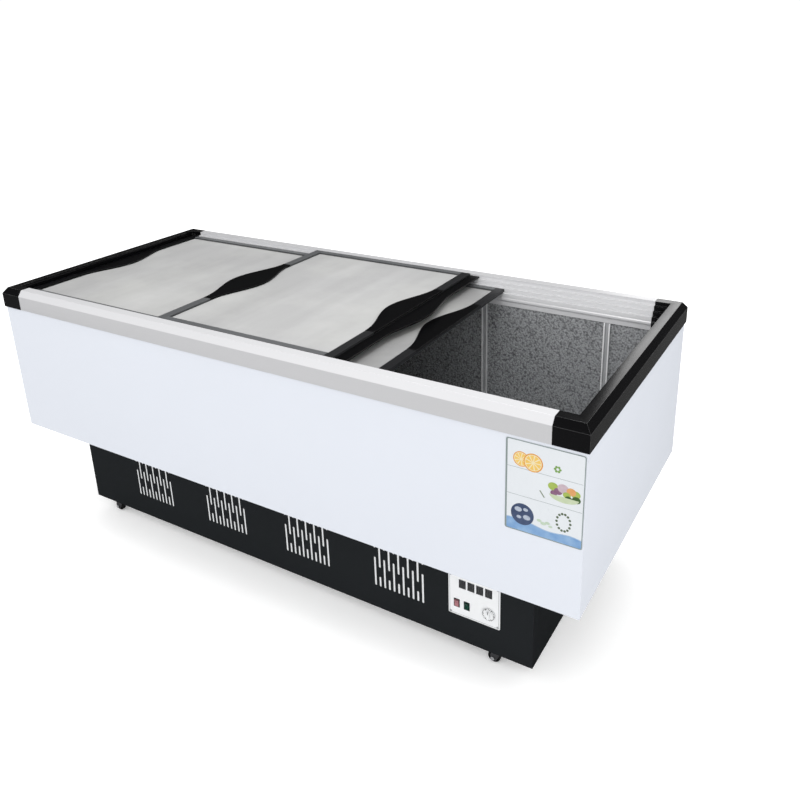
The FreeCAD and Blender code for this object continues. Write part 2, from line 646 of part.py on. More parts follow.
def switch_housing(x):
    """Socket behind the panel that a rocker turns in."""
    outer = slab(x + "_socket", (x + " - housing_half_width", x + " + housing_half_width"),
                 (PLATE_FRONT + " - 1", PLATE_FRONT + " + housing_depth"),
                 ("switch_z - housing_half_height", "switch_z + housing_half_height"))
    inner = slab(x + "_cavity",
                 (x + " - housing_half_width + housing_wall", x + " + housing_half_width - housing_wall"),
                 (PLATE_FRONT + " - 2", PLATE_FRONT + " + housing_depth - housing_wall"),
                 ("switch_z - housing_half_height + housing_wall",
                  "switch_z + housing_half_height - housing_wall"))
    hole = rod(x + "_pin_hole", "X",
               (x + " - rocker_half_width - pin_reach - pin_play", "switch_pivot_y", "switch_z"),
               "rocker_pin + pin_clearance", "2*(rocker_half_width + pin_reach + pin_play)")
    return cut(x + "_housing", cut(x + "_shell", outer, inner), hole)


FRONT_SHEET = grille_panel("plinth_front_sheet", -1)
kept(grille_panel("plinth_rear_panel", 1))
for name, side in (("plinth_left_panel", -1), ("plinth_right_panel", 1)):
    kept(slab(name, span(PLINTH_X + " - plinth_sheet", PLINTH_X, side),
              ("plinth_sheet - " + PLINTH_Y, PLINTH_Y + " - plinth_sheet"),
              ("skirt_bottom_z", "cabinet_bottom_z")))
INSIDE_X = PLINTH_X + " - plinth_sheet"
INSIDE_Y = PLINTH_Y + " - plinth_sheet"
kept(slab("base_tray", ("-(%s)" % INSIDE_X, INSIDE_X), ("-(%s)" % INSIDE_Y, INSIDE_Y),
          ("tray_z", TRAY_TOP)))
SCREWS = panel_screws()
WINDOW = control_slab("control_window", "control_margin", "-(%s) - 1" % PLINTH_Y, "1 - (%s)" % INSIDE_Y)
OPENED_SHEET = cut("plinth_front_window", FRONT_SHEET, WINDOW)
kept(cut("plinth_front", OPENED_SHEET, SCREWS)).Label = "plinth_front_panel"
PADS = []
for number in range(GRILLES):
    middle = "grille_first_x + %d*grille_pitch" % number
    PADS.append(slab("pad_%d" % number, (middle + " - pad_length/2", middle + " + pad_length/2"),
                     ("-(%s)" % INSIDE_Y, "pad_thickness - (%s)" % INSIDE_Y),
                     ("slot_low_z - slot_width", "slot_high_z + slot_width")))
kept(group("grille_filter_pads", *PADS))

HOUSINGS = [switch_housing(x) for x in ("power_switch_x", "light_switch_x")]
kept(group("switch_housings", *HOUSINGS))
BLANK = control_slab("control_blank", "0", PLATE_FRONT, "-(%s)" % PLINTH_Y)
VENTS = []
for number in range(4):
    x = "vent_first_x + %d*vent_pitch" % number
    VENTS.append(slab("vent_%d" % number, (x + " - vent_width/2", x + " + vent_width/2"),
                      (PLATE_FRONT + " - 1", "1 - (%s)" % PLINTH_Y), ("vent_low_z", "vent_high_z")))
SOCKETS = []
for x in ("power_switch_x", "light_switch_x"):
    SOCKETS.append(slab(x + "_opening", (x + " - housing_half_width", x + " + housing_half_width"),
                        (PLATE_FRONT + " - 1", "1 - (%s)" % PLINTH_Y),
                        ("switch_z - housing_half_height", "switch_z + housing_half_height")))
SHAFT_HOLE = rod("shaft_hole", "Y", ("dial_x", PLATE_FRONT + " - 1", "dial_z"), "dial_shaft + dial_gap",
                 "control_thickness + 2")
kept(cut("control", rounded("control_rounded", BLANK, FreeCAD.Vector(0, 1, 0), size("control_corner")),
         SCREWS, SHAFT_HOLE, *VENTS, *SOCKETS)).Label = "control_panel"
rocker("power_rocker", "power_switch_x")
rocker("light_rocker", "light_switch_x")

DIAL_BACK = PLATE_FRONT + " - dial_gap"
GRIP = rounded("dial_grip",
               slab("dial_grip_blank", ("dial_x - dial_grip_half", "dial_x + dial_grip_half"),
                    (DIAL_BACK + " - dial_depth - dial_grip_depth", DIAL_BACK + " - dial_depth"),
                    ("dial_z - dial_knob + 1", "dial_z + dial_knob - 1")),
               FreeCAD.Vector(0, 1, 0), size("dial_grip_round"))
kept(join("thermostat_dial", GRIP,
          rod("dial_skirt_disc", "Y", ("dial_x", DIAL_BACK + " - dial_skirt_depth", "dial_z"),
              "dial_skirt", "dial_skirt_depth"),
          rod("dial_knob_disc", "Y", ("dial_x", DIAL_BACK + " - dial_depth", "dial_z"), "dial_knob",
              "dial_depth"),
          rod("dial_shaft_rod", "Y", ("dial_x", DIAL_BACK, "dial_z"), "dial_shaft", "dial_shaft_length")))
kept(cut("thermostat_body",
         slab("thermostat_box", ("dial_x - thermostat_half", "dial_x + thermostat_half"),
              ("-(%s)" % PLINTH_Y, "thermostat_depth - (%s)" % PLINTH_Y),
              ("dial_z - thermostat_half", "dial_z + thermostat_half")),
         rod("thermostat_bore", "Y", ("dial_x", "-(%s) - 1" % PLINTH_Y, "dial_z"),
             "dial_shaft + running_gap", "dial_shaft_length + 1")))


# Refrigeration machinery ---------------------------------------------------------------------------

PLATE_Z = TRAY_TOP + " + foot_height"
POT = rim_rounded("compressor_pot",
                  rod("pot_blank", "Z", ("compressor_x", "compressor_y", PLATE_Z + " + base_plate - 1"),
                      "compressor_radius", "compressor_height"), size("compressor_round"))
kept(join("compressor", POT,
          slab("compressor_plate",
               ("compressor_x - foot_x - plate_margin", "compressor_x + foot_x + plate_margin"),
               ("compressor_y - foot_y - plate_margin", "compressor_y + foot_y + plate_margin"),
               (PLATE_Z, PLATE_Z + " + base_plate")),
          rod("compressor_seat", "Z", ("compressor_x", "compressor_y", PLATE_Z), "compressor_radius/2",
              "compressor_round")))
FEET = []
for across in (-1, 1):
    for along in (-1, 1):
        FEET.append(rod("foot_%d" % len(FEET), "Z",
                        ("compressor_x + %d*foot_x" % across, "compressor_y + %d*foot_y" % along, TRAY_TOP),
                        "foot_radius", "foot_height"))
kept(group("compressor_feet", *FEET))

FIN_PLATES = []
for number in range(FINS):
    x = "fin_first_x + %d*fin_pitch" % number
    FIN_PLATES.append(slab("fin_%d" % number, (x, x + " + fin_sheet"),
                           ("condenser_y - condenser_half_depth", "condenser_y + condenser_half_depth"),
                           ("fin_low_z", "fin_high_z")))
RAILS = []
for z in ((TRAY_TOP, "fin_low_z"), ("fin_high_z", "fin_high_z + fin_rail")):
    RAILS.append(slab("fin_rail_%d" % len(RAILS),
                      ("fin_first_x", "fin_first_x + %d*fin_pitch + fin_sheet" % (FINS - 1)),
                      ("condenser_y - condenser_half_depth",
                       "condenser_y - condenser_half_depth + fin_rail_depth"), z))
kept(join("condenser_fins", *RAILS, *FIN_PLATES))


def condenser_tube():
    """Tube going to and fro through the fins."""
    left = size("fin_first_x") - size("tube_end")
    right = size("fin_first_x") + FINS * size("fin_pitch") + size("tube_far_end")
    bend = size("pass_pitch") / 2 - size("tube_bend_gap")
    points = []
    for number in range(PASSES):
        z = size("pass_low_z") + number * size("pass_pitch")
        ends = (left, right) if number % 2 == 0 else (right, left)
        points += [FreeCAD.Vector(x, size("condenser_y"), z) for x in ends]
    return kept(shaped("condenser_tube", tube(points, size("coil_radius"), bend)))


condenser_tube()

BRACKET_Y = ("bracket_y", "bracket_y + bracket_sheet")
BRACKET_X = ("fan_x - bracket_half", "fan_x + bracket_half")
BRACKET_Z = ("fan_z - bracket_half", "fan_z + bracket_half")
SHROUD = cut("fan_shroud", slab("shroud_sheet", BRACKET_X, BRACKET_Y, BRACKET_Z),
             rod("shroud_ring", "Y", ("fan_x", "bracket_y - 1", "fan_z"), "ring_radius", "bracket_sheet + 2"))
STRAP_X = ("fan_x - strap_half", "fan_x + strap_half")
MOTOR_BACK = "motor_front_y + motor_depth"
STRAPS = [slab("strap_back", STRAP_X, (MOTOR_BACK, MOTOR_BACK + " + bracket_sheet"), BRACKET_Z)]
for z in (("fan_z - bracket_half", "fan_z - bracket_half + bracket_sheet"),
          ("fan_z + bracket_half - bracket_sheet", "fan_z + bracket_half")):
    STRAPS.append(slab("strap_%d" % len(STRAPS), STRAP_X, ("bracket_y", MOTOR_BACK + " + bracket_sheet"), z))
FOOT = slab("bracket_foot", BRACKET_X, BRACKET_Y, (TRAY_TOP, "fan_z - bracket_half"))
kept(join("fan_bracket", SHROUD, FOOT, *STRAPS))
kept(cut("fan_motor",
         rod("motor_can", "Y", ("fan_x", "motor_front_y", "fan_z"), "motor_radius", "motor_depth"),
         rod("motor_bore", "Y", ("fan_x", "motor_front_y - 1", "fan_z"), "fan_shaft + running_gap",
             "motor_bore_depth")))


def fan_blade():
    """Hub on the motor's shaft with pitched blades round it."""
    pieces = [rod("fan_hub_disc", "Y", ("fan_x", "fan_hub_y", "fan_z"), "fan_hub", "fan_hub_depth"),
              rod("fan_shaft_rod", "Y", ("fan_x", "fan_hub_y + fan_hub_depth", "fan_z"), "fan_shaft",
                  "fan_shaft_length")]
    centre = FreeCAD.Vector(size("fan_x"), size("fan_hub_y") + size("fan_hub_depth") / 2, size("fan_z"))
    pitch = FreeCAD.Rotation(FreeCAD.Vector(1, 0, 0), 90 + size("blade_pitch"))
    for number in range(BLADES):
        turn = FreeCAD.Rotation(FreeCAD.Vector(0, 1, 0), 360 * number / BLADES)
        paddle = DOC.addObject("Part::Box", "paddle_%d" % number)
        bind(paddle, "Length", "fan_radius - fan_hub + blade_root")
        bind(paddle, "Width", "blade_chord")
        bind(paddle, "Height", "blade_sheet")
        corner = FreeCAD.Vector(size("fan_hub") - size("blade_root"), -size("blade_chord") / 2, 0)
        paddle.Placement = FreeCAD.Placement(centre, turn.multiply(pitch)).multiply(
            FreeCAD.Placement(corner, FreeCAD.Rotation()))
        pieces.append(paddle)
    return kept(join("fan_blade", *pieces))


fan_blade()
kept(rim_rounded("filter_drier", rod("drier_can", "X", ("drier_x", "drier_y", "drier_z + drier_radius"),
                                     "drier_radius", "drier_length"), size("drier_round")))


def refrigerant_pipes():
    """Discharge pipe to the condenser's top pass and suction pipe up to the tub."""
    x, y = size("compressor_x"), size("compressor_y")
    left = x - size("compressor_radius")
    right = x + size("compressor_radius")
    drop = left - size("discharge_reach")
    rise = right + size("suction_reach")
    low, high = size("discharge_z"), size("pass_low_z") + (PASSES - 1) * size("pass_pitch")
    back, front = y + size("discharge_back"), size("condenser_y")
    pass_end = size("fin_first_x") - size("tube_end")
    header = pass_end - size("header_reach")
    discharge = [FreeCAD.Vector(*corner) for corner in (
        (left, y, low), (drop, y, low), (drop, back, low), (drop, back, high), (header, back, high),
        (header, front, high), (pass_end, front, high))]
    suction = [FreeCAD.Vector(*corner) for corner in (
        (right, y, size("suction_z")), (rise, y, size("suction_z")), (rise, y, size("cabinet_bottom_z")))]
    pipes = [tube(discharge, size("pipe_radius"), size("pipe_bend")),
             tube(suction, size("coil_radius"), size("suction_bend"))]
    return kept(shaped("refrigerant_pipes", Part.Compound(pipes)))


refrigerant_pipes()
GLAND = join("gland_body",
             rod("gland_nut_disc", "Y", ("gland_x", PLINTH_Y, "gland_z"), "gland_nut", "gland_depth/2"),
             rod("gland_nose", "Y", ("gland_x", PLINTH_Y, "gland_z"), "gland_nut - 4", "gland_depth"))
kept(cut("cable_gland", GLAND, rod("gland_hole", "Y", ("gland_x", PLINTH_Y + " - 1", "gland_z"), "gland_bore",
                                   "gland_depth + 2")))


# Casters -------------------------------------------------------------------------------------------

CORNERS = (("front_left", -1, -1), ("front_right", 1, -1), ("rear_left", -1, 1), ("rear_right", 1, 1))


def caster_plate(name, x, y):
    plate = slab(name + "_plate", (x + " - caster_plate_x", x + " + caster_plate_x"),
                 (y + " - caster_plate_y", y + " + caster_plate_y"), ("tray_z - caster_plate", "tray_z"))
    race = rod(name + "_race", "Z", (x, y, "race_low_z"), "race_radius", "tray_z - caster_plate - race_low_z")
    bore = rod(name + "_race_bore", "Z", (x, y, "race_low_z - 1"), "kingpin + running_gap",
               "kingpin_top_z - race_low_z + 1.5")
    return cut(name + "_seat", join(name + "_top", plate, race), bore)


def caster_fork(name, x, y):
    crown = rod(name + "_crown", "Z", (x, y, "crown_low_z"), "crown_radius", "fork_sheet")
    pin = rod(name + "_kingpin", "Z", (x, y, "crown_low_z + fork_sheet"), "kingpin",
              "kingpin_top_z - crown_low_z - fork_sheet")
    leg = [(x + " + leg_toe", "crown_low_z + fork_sheet"), (x + " - leg_heel", "crown_low_z + fork_sheet"),
           (x + " - trail - leg_tip", "wheel_radius + leg_tip"),
           (x + " - trail - leg_tip", "wheel_radius - leg_tip"),
           (x + " - trail + leg_tip", "wheel_radius - leg_tip"),
           (x + " + leg_toe", "crown_low_z - leg_toe/2")]
    inner = "(wheel_width/2 + fork_gap)"
    sides = ((y + " - fork_sheet - " + inner, y + " - " + inner),
             (y + " + " + inner, y + " + fork_sheet + " + inner))
    legs = [prism("%s_leg_%d" % (name, number), "XZ_Plane", [leg], low, high)
            for number, (low, high) in enumerate(sides)]
    axle = rod(name + "_axle", "Y",
               (x + " - trail", y + " - wheel_width/2 - axle_head", "wheel_radius"), "axle_radius",
               "wheel_width + 2*axle_head")
    return kept(join(name + "_caster_fork", crown, pin, axle, *legs))


def caster_wheel(name, x, y):
    tread = rod(name + "_tread", "Y", (x + " - trail", y + " - wheel_width/2", "wheel_radius"),
                "wheel_radius", "wheel_width")
    bore = rod(name + "_bore", "Y", (x + " - trail", y + " - wheel_width", "wheel_radius"),
               "axle_radius + running_gap", "2*wheel_width")
    return kept(cut(name + "_caster_wheel", rim_rounded(name + "_tyre", tread, size("wheel_round")), bore))


SEATS = []
for name, across, along in CORNERS:
    x, y = "%d*caster_x" % across, "%d*caster_y" % along
    SEATS.append(caster_plate(name, x, y))
    caster_fork(name, x, y)
    caster_wheel(name, x, y)
kept(group("caster_plates", *SEATS))


# Check and write -----------------------------------------------------------------------------------

DOC.recompute()
for item in DOC.Objects:
    if "Invalid" in item.State or "Error" in item.State:
        raise RuntimeError("%s failed: %s" % (item.Name, item.State))
os.makedirs("parts", exist_ok=True)
for item in PARTS:
    if item.Shape.isNull() or not item.Shape.isValid():
        raise RuntimeError(item.Label + " has no valid shape")
for item in PARTS:
    item.Shape.exportStep("parts/%s.step" % item.Label)
    box = item.Shape.BoundBox
    print("%-26s %2d solids %10.1f cm3  x %7.1f %7.1f  y %7.1f %7.1f  z %6.1f %6.1f" % (
        item.Label, len(item.Shape.Solids), item.Shape.Volume / 1000, box.XMin, box.XMax, box.YMin, box.YMax,
        box.ZMin, box.ZMax))
print(len(PARTS), "sub-parts")
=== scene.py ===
import json
import math

import bmesh
import bpy
from bpy.props import FloatProperty, FloatVectorProperty, IntProperty, PointerProperty
from mathutils import Matrix, Vector


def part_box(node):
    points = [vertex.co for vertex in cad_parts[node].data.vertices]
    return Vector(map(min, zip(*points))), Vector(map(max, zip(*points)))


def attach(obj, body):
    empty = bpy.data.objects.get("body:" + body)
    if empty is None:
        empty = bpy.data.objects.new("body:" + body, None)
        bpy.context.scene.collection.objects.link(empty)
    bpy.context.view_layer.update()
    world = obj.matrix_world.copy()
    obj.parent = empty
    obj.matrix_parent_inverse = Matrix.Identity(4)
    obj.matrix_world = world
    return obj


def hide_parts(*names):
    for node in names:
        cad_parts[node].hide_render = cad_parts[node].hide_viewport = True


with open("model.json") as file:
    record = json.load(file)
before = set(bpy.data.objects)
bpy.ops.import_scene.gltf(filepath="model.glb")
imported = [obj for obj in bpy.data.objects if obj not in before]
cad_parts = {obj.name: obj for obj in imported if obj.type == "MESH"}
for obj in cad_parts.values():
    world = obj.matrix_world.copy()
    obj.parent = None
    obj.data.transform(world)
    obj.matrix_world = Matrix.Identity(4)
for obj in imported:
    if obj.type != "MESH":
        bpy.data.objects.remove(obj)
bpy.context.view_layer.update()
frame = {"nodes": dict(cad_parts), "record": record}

bl_info = {
    "name": "Island chest freezer",
    "version": (1, 0, 0),
    "blender": (4, 5, 0),
    "location": "3D View > Sidebar > Freezer",
    "description": "Finishes and detailed pieces for a chest freezer with sliding glass lids",
    "category": "Object",
}

RECORD = frame["record"]
BODY_OF = {node: body for body, nodes in RECORD["behaviour"]["bodies"].items() for node in nodes}
MM = 0.001


# Properties ----------------------------------------------------------------------------------------

def colour(name, description, default):
    return FloatVectorProperty(name=name, description=description, default=default, size=3,
                               subtype="COLOR", min=0.0, max=1.0)


def length(name, description, default):
    return FloatProperty(name=name, description=description, default=default, min=0.0,
                         unit="LENGTH", subtype="DISTANCE")


class FreezerColours(bpy.types.PropertyGroup):
    enamel: colour("Enamel", "White of the cabinet's painted skins", (0.60, 0.624, 0.675))
    aluminium: colour("Rail aluminium", "Anodised rails along the front and back", (0.70, 0.70, 0.715))
    tub: colour("Tub aluminium", "Embossed lining of the tub", (0.48, 0.49, 0.505))
    black: colour("Black plastic", "End caps and lid pulls", (0.0022, 0.0022, 0.0026))
    plinth: colour("Plinth", "Powder coat of the plinth", (0.0135, 0.0155, 0.0172))
    lid_frame: colour("Lid frame", "Moulding round each pane", (0.085, 0.088, 0.092))
    pane: colour("Pane", "Frosted glass of the lids", (0.475, 0.475, 0.48))
    control: colour("Control panel", "White of the control panel and dial", (0.79, 0.80, 0.81))
    power: colour("Power rocker", "Cap of the power switch", (0.34, 0.15, 0.165))
    light: colour("Light rocker", "Cap of the light switch", (0.0015, 0.035, 0.022))


class FreezerSizes(bpy.types.PropertyGroup):
    sheet_edge: length("Sheet edge", "Rounding of folded sheet edges", 0.0008)
    cap_edge: length("Cap edge", "Rounding of the plastic end caps", 0.0022)
    rail_edge: length("Rail edge", "Rounding of the rails' edges", 0.0009)
    lid_edge: length("Lid edge", "Rounding of the lid frames", 0.0014)
    seal_width: length("Seal width", "Black seal between a pane and its frame", 0.0035)
    emboss: length("Emboss", "Size of the pebbles pressed into the tub's lining", 0.005)
    dial_marks: IntProperty(name="Dial marks", description="Marks round the thermostat dial",
                            default=24, min=4, max=60)


def colours():
    return bpy.context.scene.freezer_colours


def sizes():
    return bpy.context.scene.freezer_sizes


# Shader groups -------------------------------------------------------------------------------------

def new_node(tree, kind, inputs=None, **options):
    """Node with its options set and its inputs given as numbers, or linked from output sockets."""
    item = tree.nodes.new(kind)
    for option, value in options.items():
        setattr(item, option, value)
    for label, value in (inputs or {}).items():
        socket = item.inputs[label]
        if isinstance(value, bpy.types.NodeSocket):
            tree.links.new(value, socket)
        else:
            socket.default_value = value
    return item


def new_group(name, inputs, outputs):
    """Empty shader group with its sockets; returns the tree, its input node and its output node."""
    tree = bpy.data.node_groups.new(name, "ShaderNodeTree")
    for label, kind, value in inputs:
        socket = tree.interface.new_socket(label, in_out="INPUT", socket_type=kind)
        socket.default_value = value
    for label, kind in outputs:
        tree.interface.new_socket(label, in_out="OUTPUT", socket_type=kind)
    return tree, new_node(tree, "NodeGroupInput"), new_node(tree, "NodeGroupOutput")


def spread_coordinates(tree, stretch=None):
    """The piece's own coordinates in metres, squeezed by a stretch socket if given."""
    place = new_node(tree, "ShaderNodeTexCoord").outputs["Object"]
    if stretch is None:
        return place
    return new_node(tree, "ShaderNodeVectorMath", {0: place, 1: stretch}, operation="MULTIPLY").outputs[0]


def cloud(tree, scale, coordinates, detail=3.0):
    """Soft noise from 0 to 1."""
    return new_node(tree, "ShaderNodeTexNoise", {"Vector": coordinates, "Scale": scale, "Detail": detail,
                                                 "Roughness": 0.55}).outputs["Fac"]


def sums(tree, operation, first, second, clamp=False):
    return new_node(tree, "ShaderNodeMath", {0: first, 1: second}, operation=operation,
                    use_clamp=clamp).outputs[0]


def blended(tree, amount, first, second):
    mix = new_node(tree, "ShaderNodeMix", data_type="RGBA")
    for index, value in ((0, amount), (6, first), (7, second)):
        if isinstance(value, bpy.types.NodeSocket):
            tree.links.new(value, mix.inputs[index])
        else:
            mix.inputs[index].default_value = value
    return mix.outputs[2]


def ramp(tree, value, start, end):
    """0 where the value is at start, 1 where it is at end."""
    spread = {"Value": value, "From Min": start, "From Max": end}
    return new_node(tree, "ShaderNodeMapRange", spread).outputs[0]


def upward(tree):
    """How far the surface faces up, from -1 to 1."""
    normal = new_node(tree, "ShaderNodeNewGeometry").outputs["Normal"]
    return new_node(tree, "ShaderNodeSeparateXYZ", {0: normal}).outputs["Z"]


def uneven_tone_group():
    """Colour that drifts towards a second one in soft patches."""
    tree, given, result = new_group("uneven_tone", (
        ("Colour", "NodeSocketColor", (0.5, 0.5, 0.5, 1)), ("Other", "NodeSocketColor", (0.4, 0.4, 0.4, 1)),
        ("Scale", "NodeSocketFloat", 4.0), ("Amount", "NodeSocketFloat", 0.5)),
        (("Colour", "NodeSocketColor"),))
    patches = cloud(tree, given.outputs["Scale"], spread_coordinates(tree))
    amount = sums(tree, "MULTIPLY", patches, given.outputs["Amount"], clamp=True)
    tree.links.new(blended(tree, amount, given.outputs["Colour"], given.outputs["Other"]),
                   result.inputs["Colour"])
    return tree


def smudges_group():
    """Roughness that wanders with handling and polish."""
    tree, given, result = new_group("smudges", (
        ("Roughness", "NodeSocketFloat", 0.3), ("Spread", "NodeSocketFloat", 0.1),
        ("Scale", "NodeSocketFloat", 9.0)), (("Roughness", "NodeSocketFloat"),))
    patches = cloud(tree, given.outputs["Scale"], spread_coordinates(tree), 5.0)
    wander = sums(tree, "MULTIPLY", sums(tree, "SUBTRACT", patches, 0.5), given.outputs["Spread"])
    tree.links.new(sums(tree, "ADD", given.outputs["Roughness"], wander, clamp=True),
                   result.inputs["Roughness"])
    return tree


def grain_group():
    """Fine surface texture, drawn out along one direction where it is stretched."""
    tree, given, result = new_group("grain", (
        ("Scale", "NodeSocketFloat", 400.0), ("Stretch", "NodeSocketVector", (1, 1, 1))),
        (("Height", "NodeSocketFloat"),))
    coordinates = spread_coordinates(tree, given.outputs["Stretch"])
    tree.links.new(cloud(tree, given.outputs["Scale"], coordinates, 2.0), result.inputs["Height"])
    return tree


def dust_group():
    """Pale dust settled on what faces up, thin and patchy."""
    tree, given, result = new_group("settled_dust", (
        ("Colour", "NodeSocketColor", (0.5, 0.5, 0.5, 1)), ("Dust", "NodeSocketColor", (0.55, 0.54, 0.52, 1)),
        ("Amount", "NodeSocketFloat", 0.05)), (("Colour", "NodeSocketColor"),))
    patches = cloud(tree, 22.0, spread_coordinates(tree), 6.0)
    lying = sums(tree, "MULTIPLY", ramp(tree, upward(tree), 0.3, 1.0), patches)
    amount = sums(tree, "MULTIPLY", lying, given.outputs["Amount"], clamp=True)
    tree.links.new(blended(tree, amount, given.outputs["Colour"], given.outputs["Dust"]),
                   result.inputs["Colour"])
    return tree


def pebbles_group():
    """Rounded pebbles pressed into a sheet, at random, with a finer ripple on top, and a mask of the hollows
    for painted shade.
    """
    tree, given, result = new_group("pebbles", (("Size", "NodeSocketFloat", 0.006),),
                                    (("Height", "NodeSocketFloat"), ("Painted hollow shade", "NodeSocketFloat")))
    scale = sums(tree, "DIVIDE", 1.0, given.outputs["Size"])
    coordinates = spread_coordinates(tree)
    cells = new_node(tree, "ShaderNodeTexVoronoi", {"Vector": coordinates, "Scale": scale, "Randomness": 0.9},
                     feature="SMOOTH_F1").outputs["Distance"]
    ripple = cloud(tree, sums(tree, "MULTIPLY", scale, 1.7), coordinates, 2.0)
    height = sums(tree, "ADD", sums(tree, "MULTIPLY", cells, -0.8), sums(tree, "MULTIPLY", ripple, 0.5))
    tree.links.new(height, result.inputs["Height"])
    tree.links.new(ramp(tree, cells, 0.25, 0.7), result.inputs["Painted hollow shade"])
    return tree


GROUPS = {}


def group(tree, name, inputs):
    """A shared group placed in a material; each is built once."""
    makers = {"uneven_tone": uneven_tone_group, "smudges": smudges_group, "grain": grain_group,
              "settled_dust": dust_group, "pebbles": pebbles_group}
    if name not in GROUPS:
        GROUPS[name] = makers[name]()
    return new_node(tree, "ShaderNodeGroup", inputs, node_tree=GROUPS[name])


# Finishes ------------------------------------------------------------------------------------------

def shaded(values, share):
    return tuple(value * share for value in values)


def rgba(values, share=1.0):
    return tuple(min(1.0, value) for value in shaded(values, share)) + (1.0,)


def finish(name, base, roughness, other=None, tone=0.5, tone_scale=4.0, spread=0.08, grain=500.0,
           bump=0.00003, stretch=(1, 1, 1), dust=0.04, **fixed):
    """Material with drifting colour, wandering roughness, fine grain and a little dust.

    Values in fixed go straight onto the shader, with _ for a space in the socket's name.
    """
    if name in bpy.data.materials:
        return bpy.data.materials[name]
    material = bpy.data.materials.new(name)
    material.use_nodes = True
    tree = material.node_tree
    shader = tree.nodes["Principled BSDF"]
    second = rgba(other) if other else rgba(base, 0.88)
    toned = group(tree, "uneven_tone", {"Colour": rgba(base), "Other": second, "Scale": tone_scale,
                                        "Amount": tone})
    dusted = group(tree, "settled_dust", {"Colour": toned.outputs[0], "Amount": dust})
    tree.links.new(dusted.outputs[0], shader.inputs["Base Color"])
    worn = group(tree, "smudges", {"Roughness": roughness, "Spread": spread})
    tree.links.new(worn.outputs[0], shader.inputs["Roughness"])
    fine = group(tree, "grain", {"Scale": grain, "Stretch": stretch})
    relief = new_node(tree, "ShaderNodeBump", {"Strength": 0.7, "Distance": bump,
                                               "Height": fine.outputs[0]})
    tree.links.new(relief.outputs[0], shader.inputs["Normal"])
    for label, value in fixed.items():
        shader.inputs[label.replace("_", " ")].default_value = value
    return material


def overlaid(material, amount, other):
    """A second colour laid over a finish, by an amount that changes over the surface."""
    tree = material.node_tree
    under = tree.nodes["Principled BSDF"].inputs["Base Color"]
    tree.links.new(blended(tree, amount, under.links[0].from_socket, other), under)
    return material


def enamel(name="white_enamel", painted_lightness=1.03):
    # painted_lightness scales the white: 1.03 on the front and rear skins, 1.22 on the side skins, whose
    # extra paleness is painted light
    return finish(name, shaded(colours().enamel, painted_lightness), 0.20, tone=0.35, tone_scale=1.4, spread=0.06,
                  grain=260.0, bump=0.000012, dust=0.05, Specular_IOR_Level=0.12, Coat_Weight=0.12,
                  Coat_Roughness=0.08)


def rail_metal(name, lying, standing):
    """Drawn aluminium with painted light: facets that lie and facets that stand get different painted shades
    of it.
    """
    material = finish(name, shaded(colours().aluminium, lying), 0.30, tone=0.3, tone_scale=2.5, spread=0.10,
                      grain=700.0, bump=0.00001, stretch=(0.02, 1, 1), dust=0.03, Metallic=0.12)
    tree = material.node_tree
    return overlaid(material, ramp(tree, upward(tree), 0.55, 0.15), rgba(colours().aluminium, standing))


def tub_metal():
    """Stucco aluminium: pressed pebbles, with painted shade darkening the hollows."""
    material = finish("stucco_aluminium", colours().tub, 0.34, tone=0.6, tone_scale=3.0, spread=0.12,
                      dust=0.0, Metallic=0.15)
    tree = material.node_tree
    pebbles = group(tree, "pebbles", {"Size": sizes().emboss})
    relief = new_node(tree, "ShaderNodeBump", {"Strength": 1.0, "Distance": 0.0016,
                                               "Height": pebbles.outputs["Height"]})
    tree.links.new(relief.outputs[0], tree.nodes["Principled BSDF"].inputs["Normal"])
    # Painted shade: the hollows are darkened towards a fifth of the tub's colour
    painted_hollow_shade = sums(tree, "MULTIPLY", pebbles.outputs["Painted hollow shade"], 0.85)
    return overlaid(material, painted_hollow_shade, rgba(colours().tub, 0.22))


def black_gloss():
    return finish("gloss_black", colours().black, 0.20, other=(0.005, 0.005, 0.006), spread=0.12, grain=900.0,
                  bump=0.00001, dust=0.004, Specular_IOR_Level=0.4)


def painted_edge_highlight(name, painted_lightness):
    """Painted highlight for the rounded edges of a black moulding, in patches from pale grey to half as pale.
    """
    return finish(name, (painted_lightness, painted_lightness * 1.02, painted_lightness * 1.02), 0.25, other=(painted_lightness * 0.5,) * 3, tone=0.9,
                  tone_scale=14.0, grain=900.0, bump=0.00001, dust=0.0)


def pull_black():
    return finish("pull_black", colours().black, 0.30, other=(0.005, 0.005, 0.006), spread=0.12, grain=900.0,
                  bump=0.00002, dust=0.002, Specular_IOR_Level=0.1)


def powder_coat():
    return finish("powder_coat", colours().plinth, 0.46, other=(0.017, 0.019, 0.021), tone=0.7, spread=0.10,
                  grain=1100.0, bump=0.00005, dust=0.015, Specular_IOR_Level=0.06)


def lid_moulding(lid):
    """Grey moulding, darkened along its two sides by a share that differs for each lid and side: painted
    shade from the end caps and the overlapping lids.
    """
    material = finish(lid + "_moulding", colours().lid_frame, 0.34, other=(0.16, 0.165, 0.17), tone=0.6,
                      spread=0.12, grain=800.0, bump=0.00002, dust=0.02, Specular_IOR_Level=0.2)
    # Shares of painted shade on the left and right sides of each lid's moulding
    left, right = {"left_lid": (1.0, 0.5), "middle_lid": (0.15, 0.85), "right_lid": (0.8, 0.9)}[lid]
    low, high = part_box(lid + "_glass")
    groove = 7 * MM
    tree = material.node_tree
    across = new_node(tree, "ShaderNodeSeparateXYZ", {0: spread_coordinates(tree)}).outputs["X"]
    before = sums(tree, "MULTIPLY", sums(tree, "LESS_THAN", across, low.x + groove), left)
    beyond = sums(tree, "MULTIPLY", sums(tree, "GREATER_THAN", across, high.x - groove), right)
    return overlaid(material, sums(tree, "ADD", before, beyond, clamp=True), rgba(colours().black, 3.0))


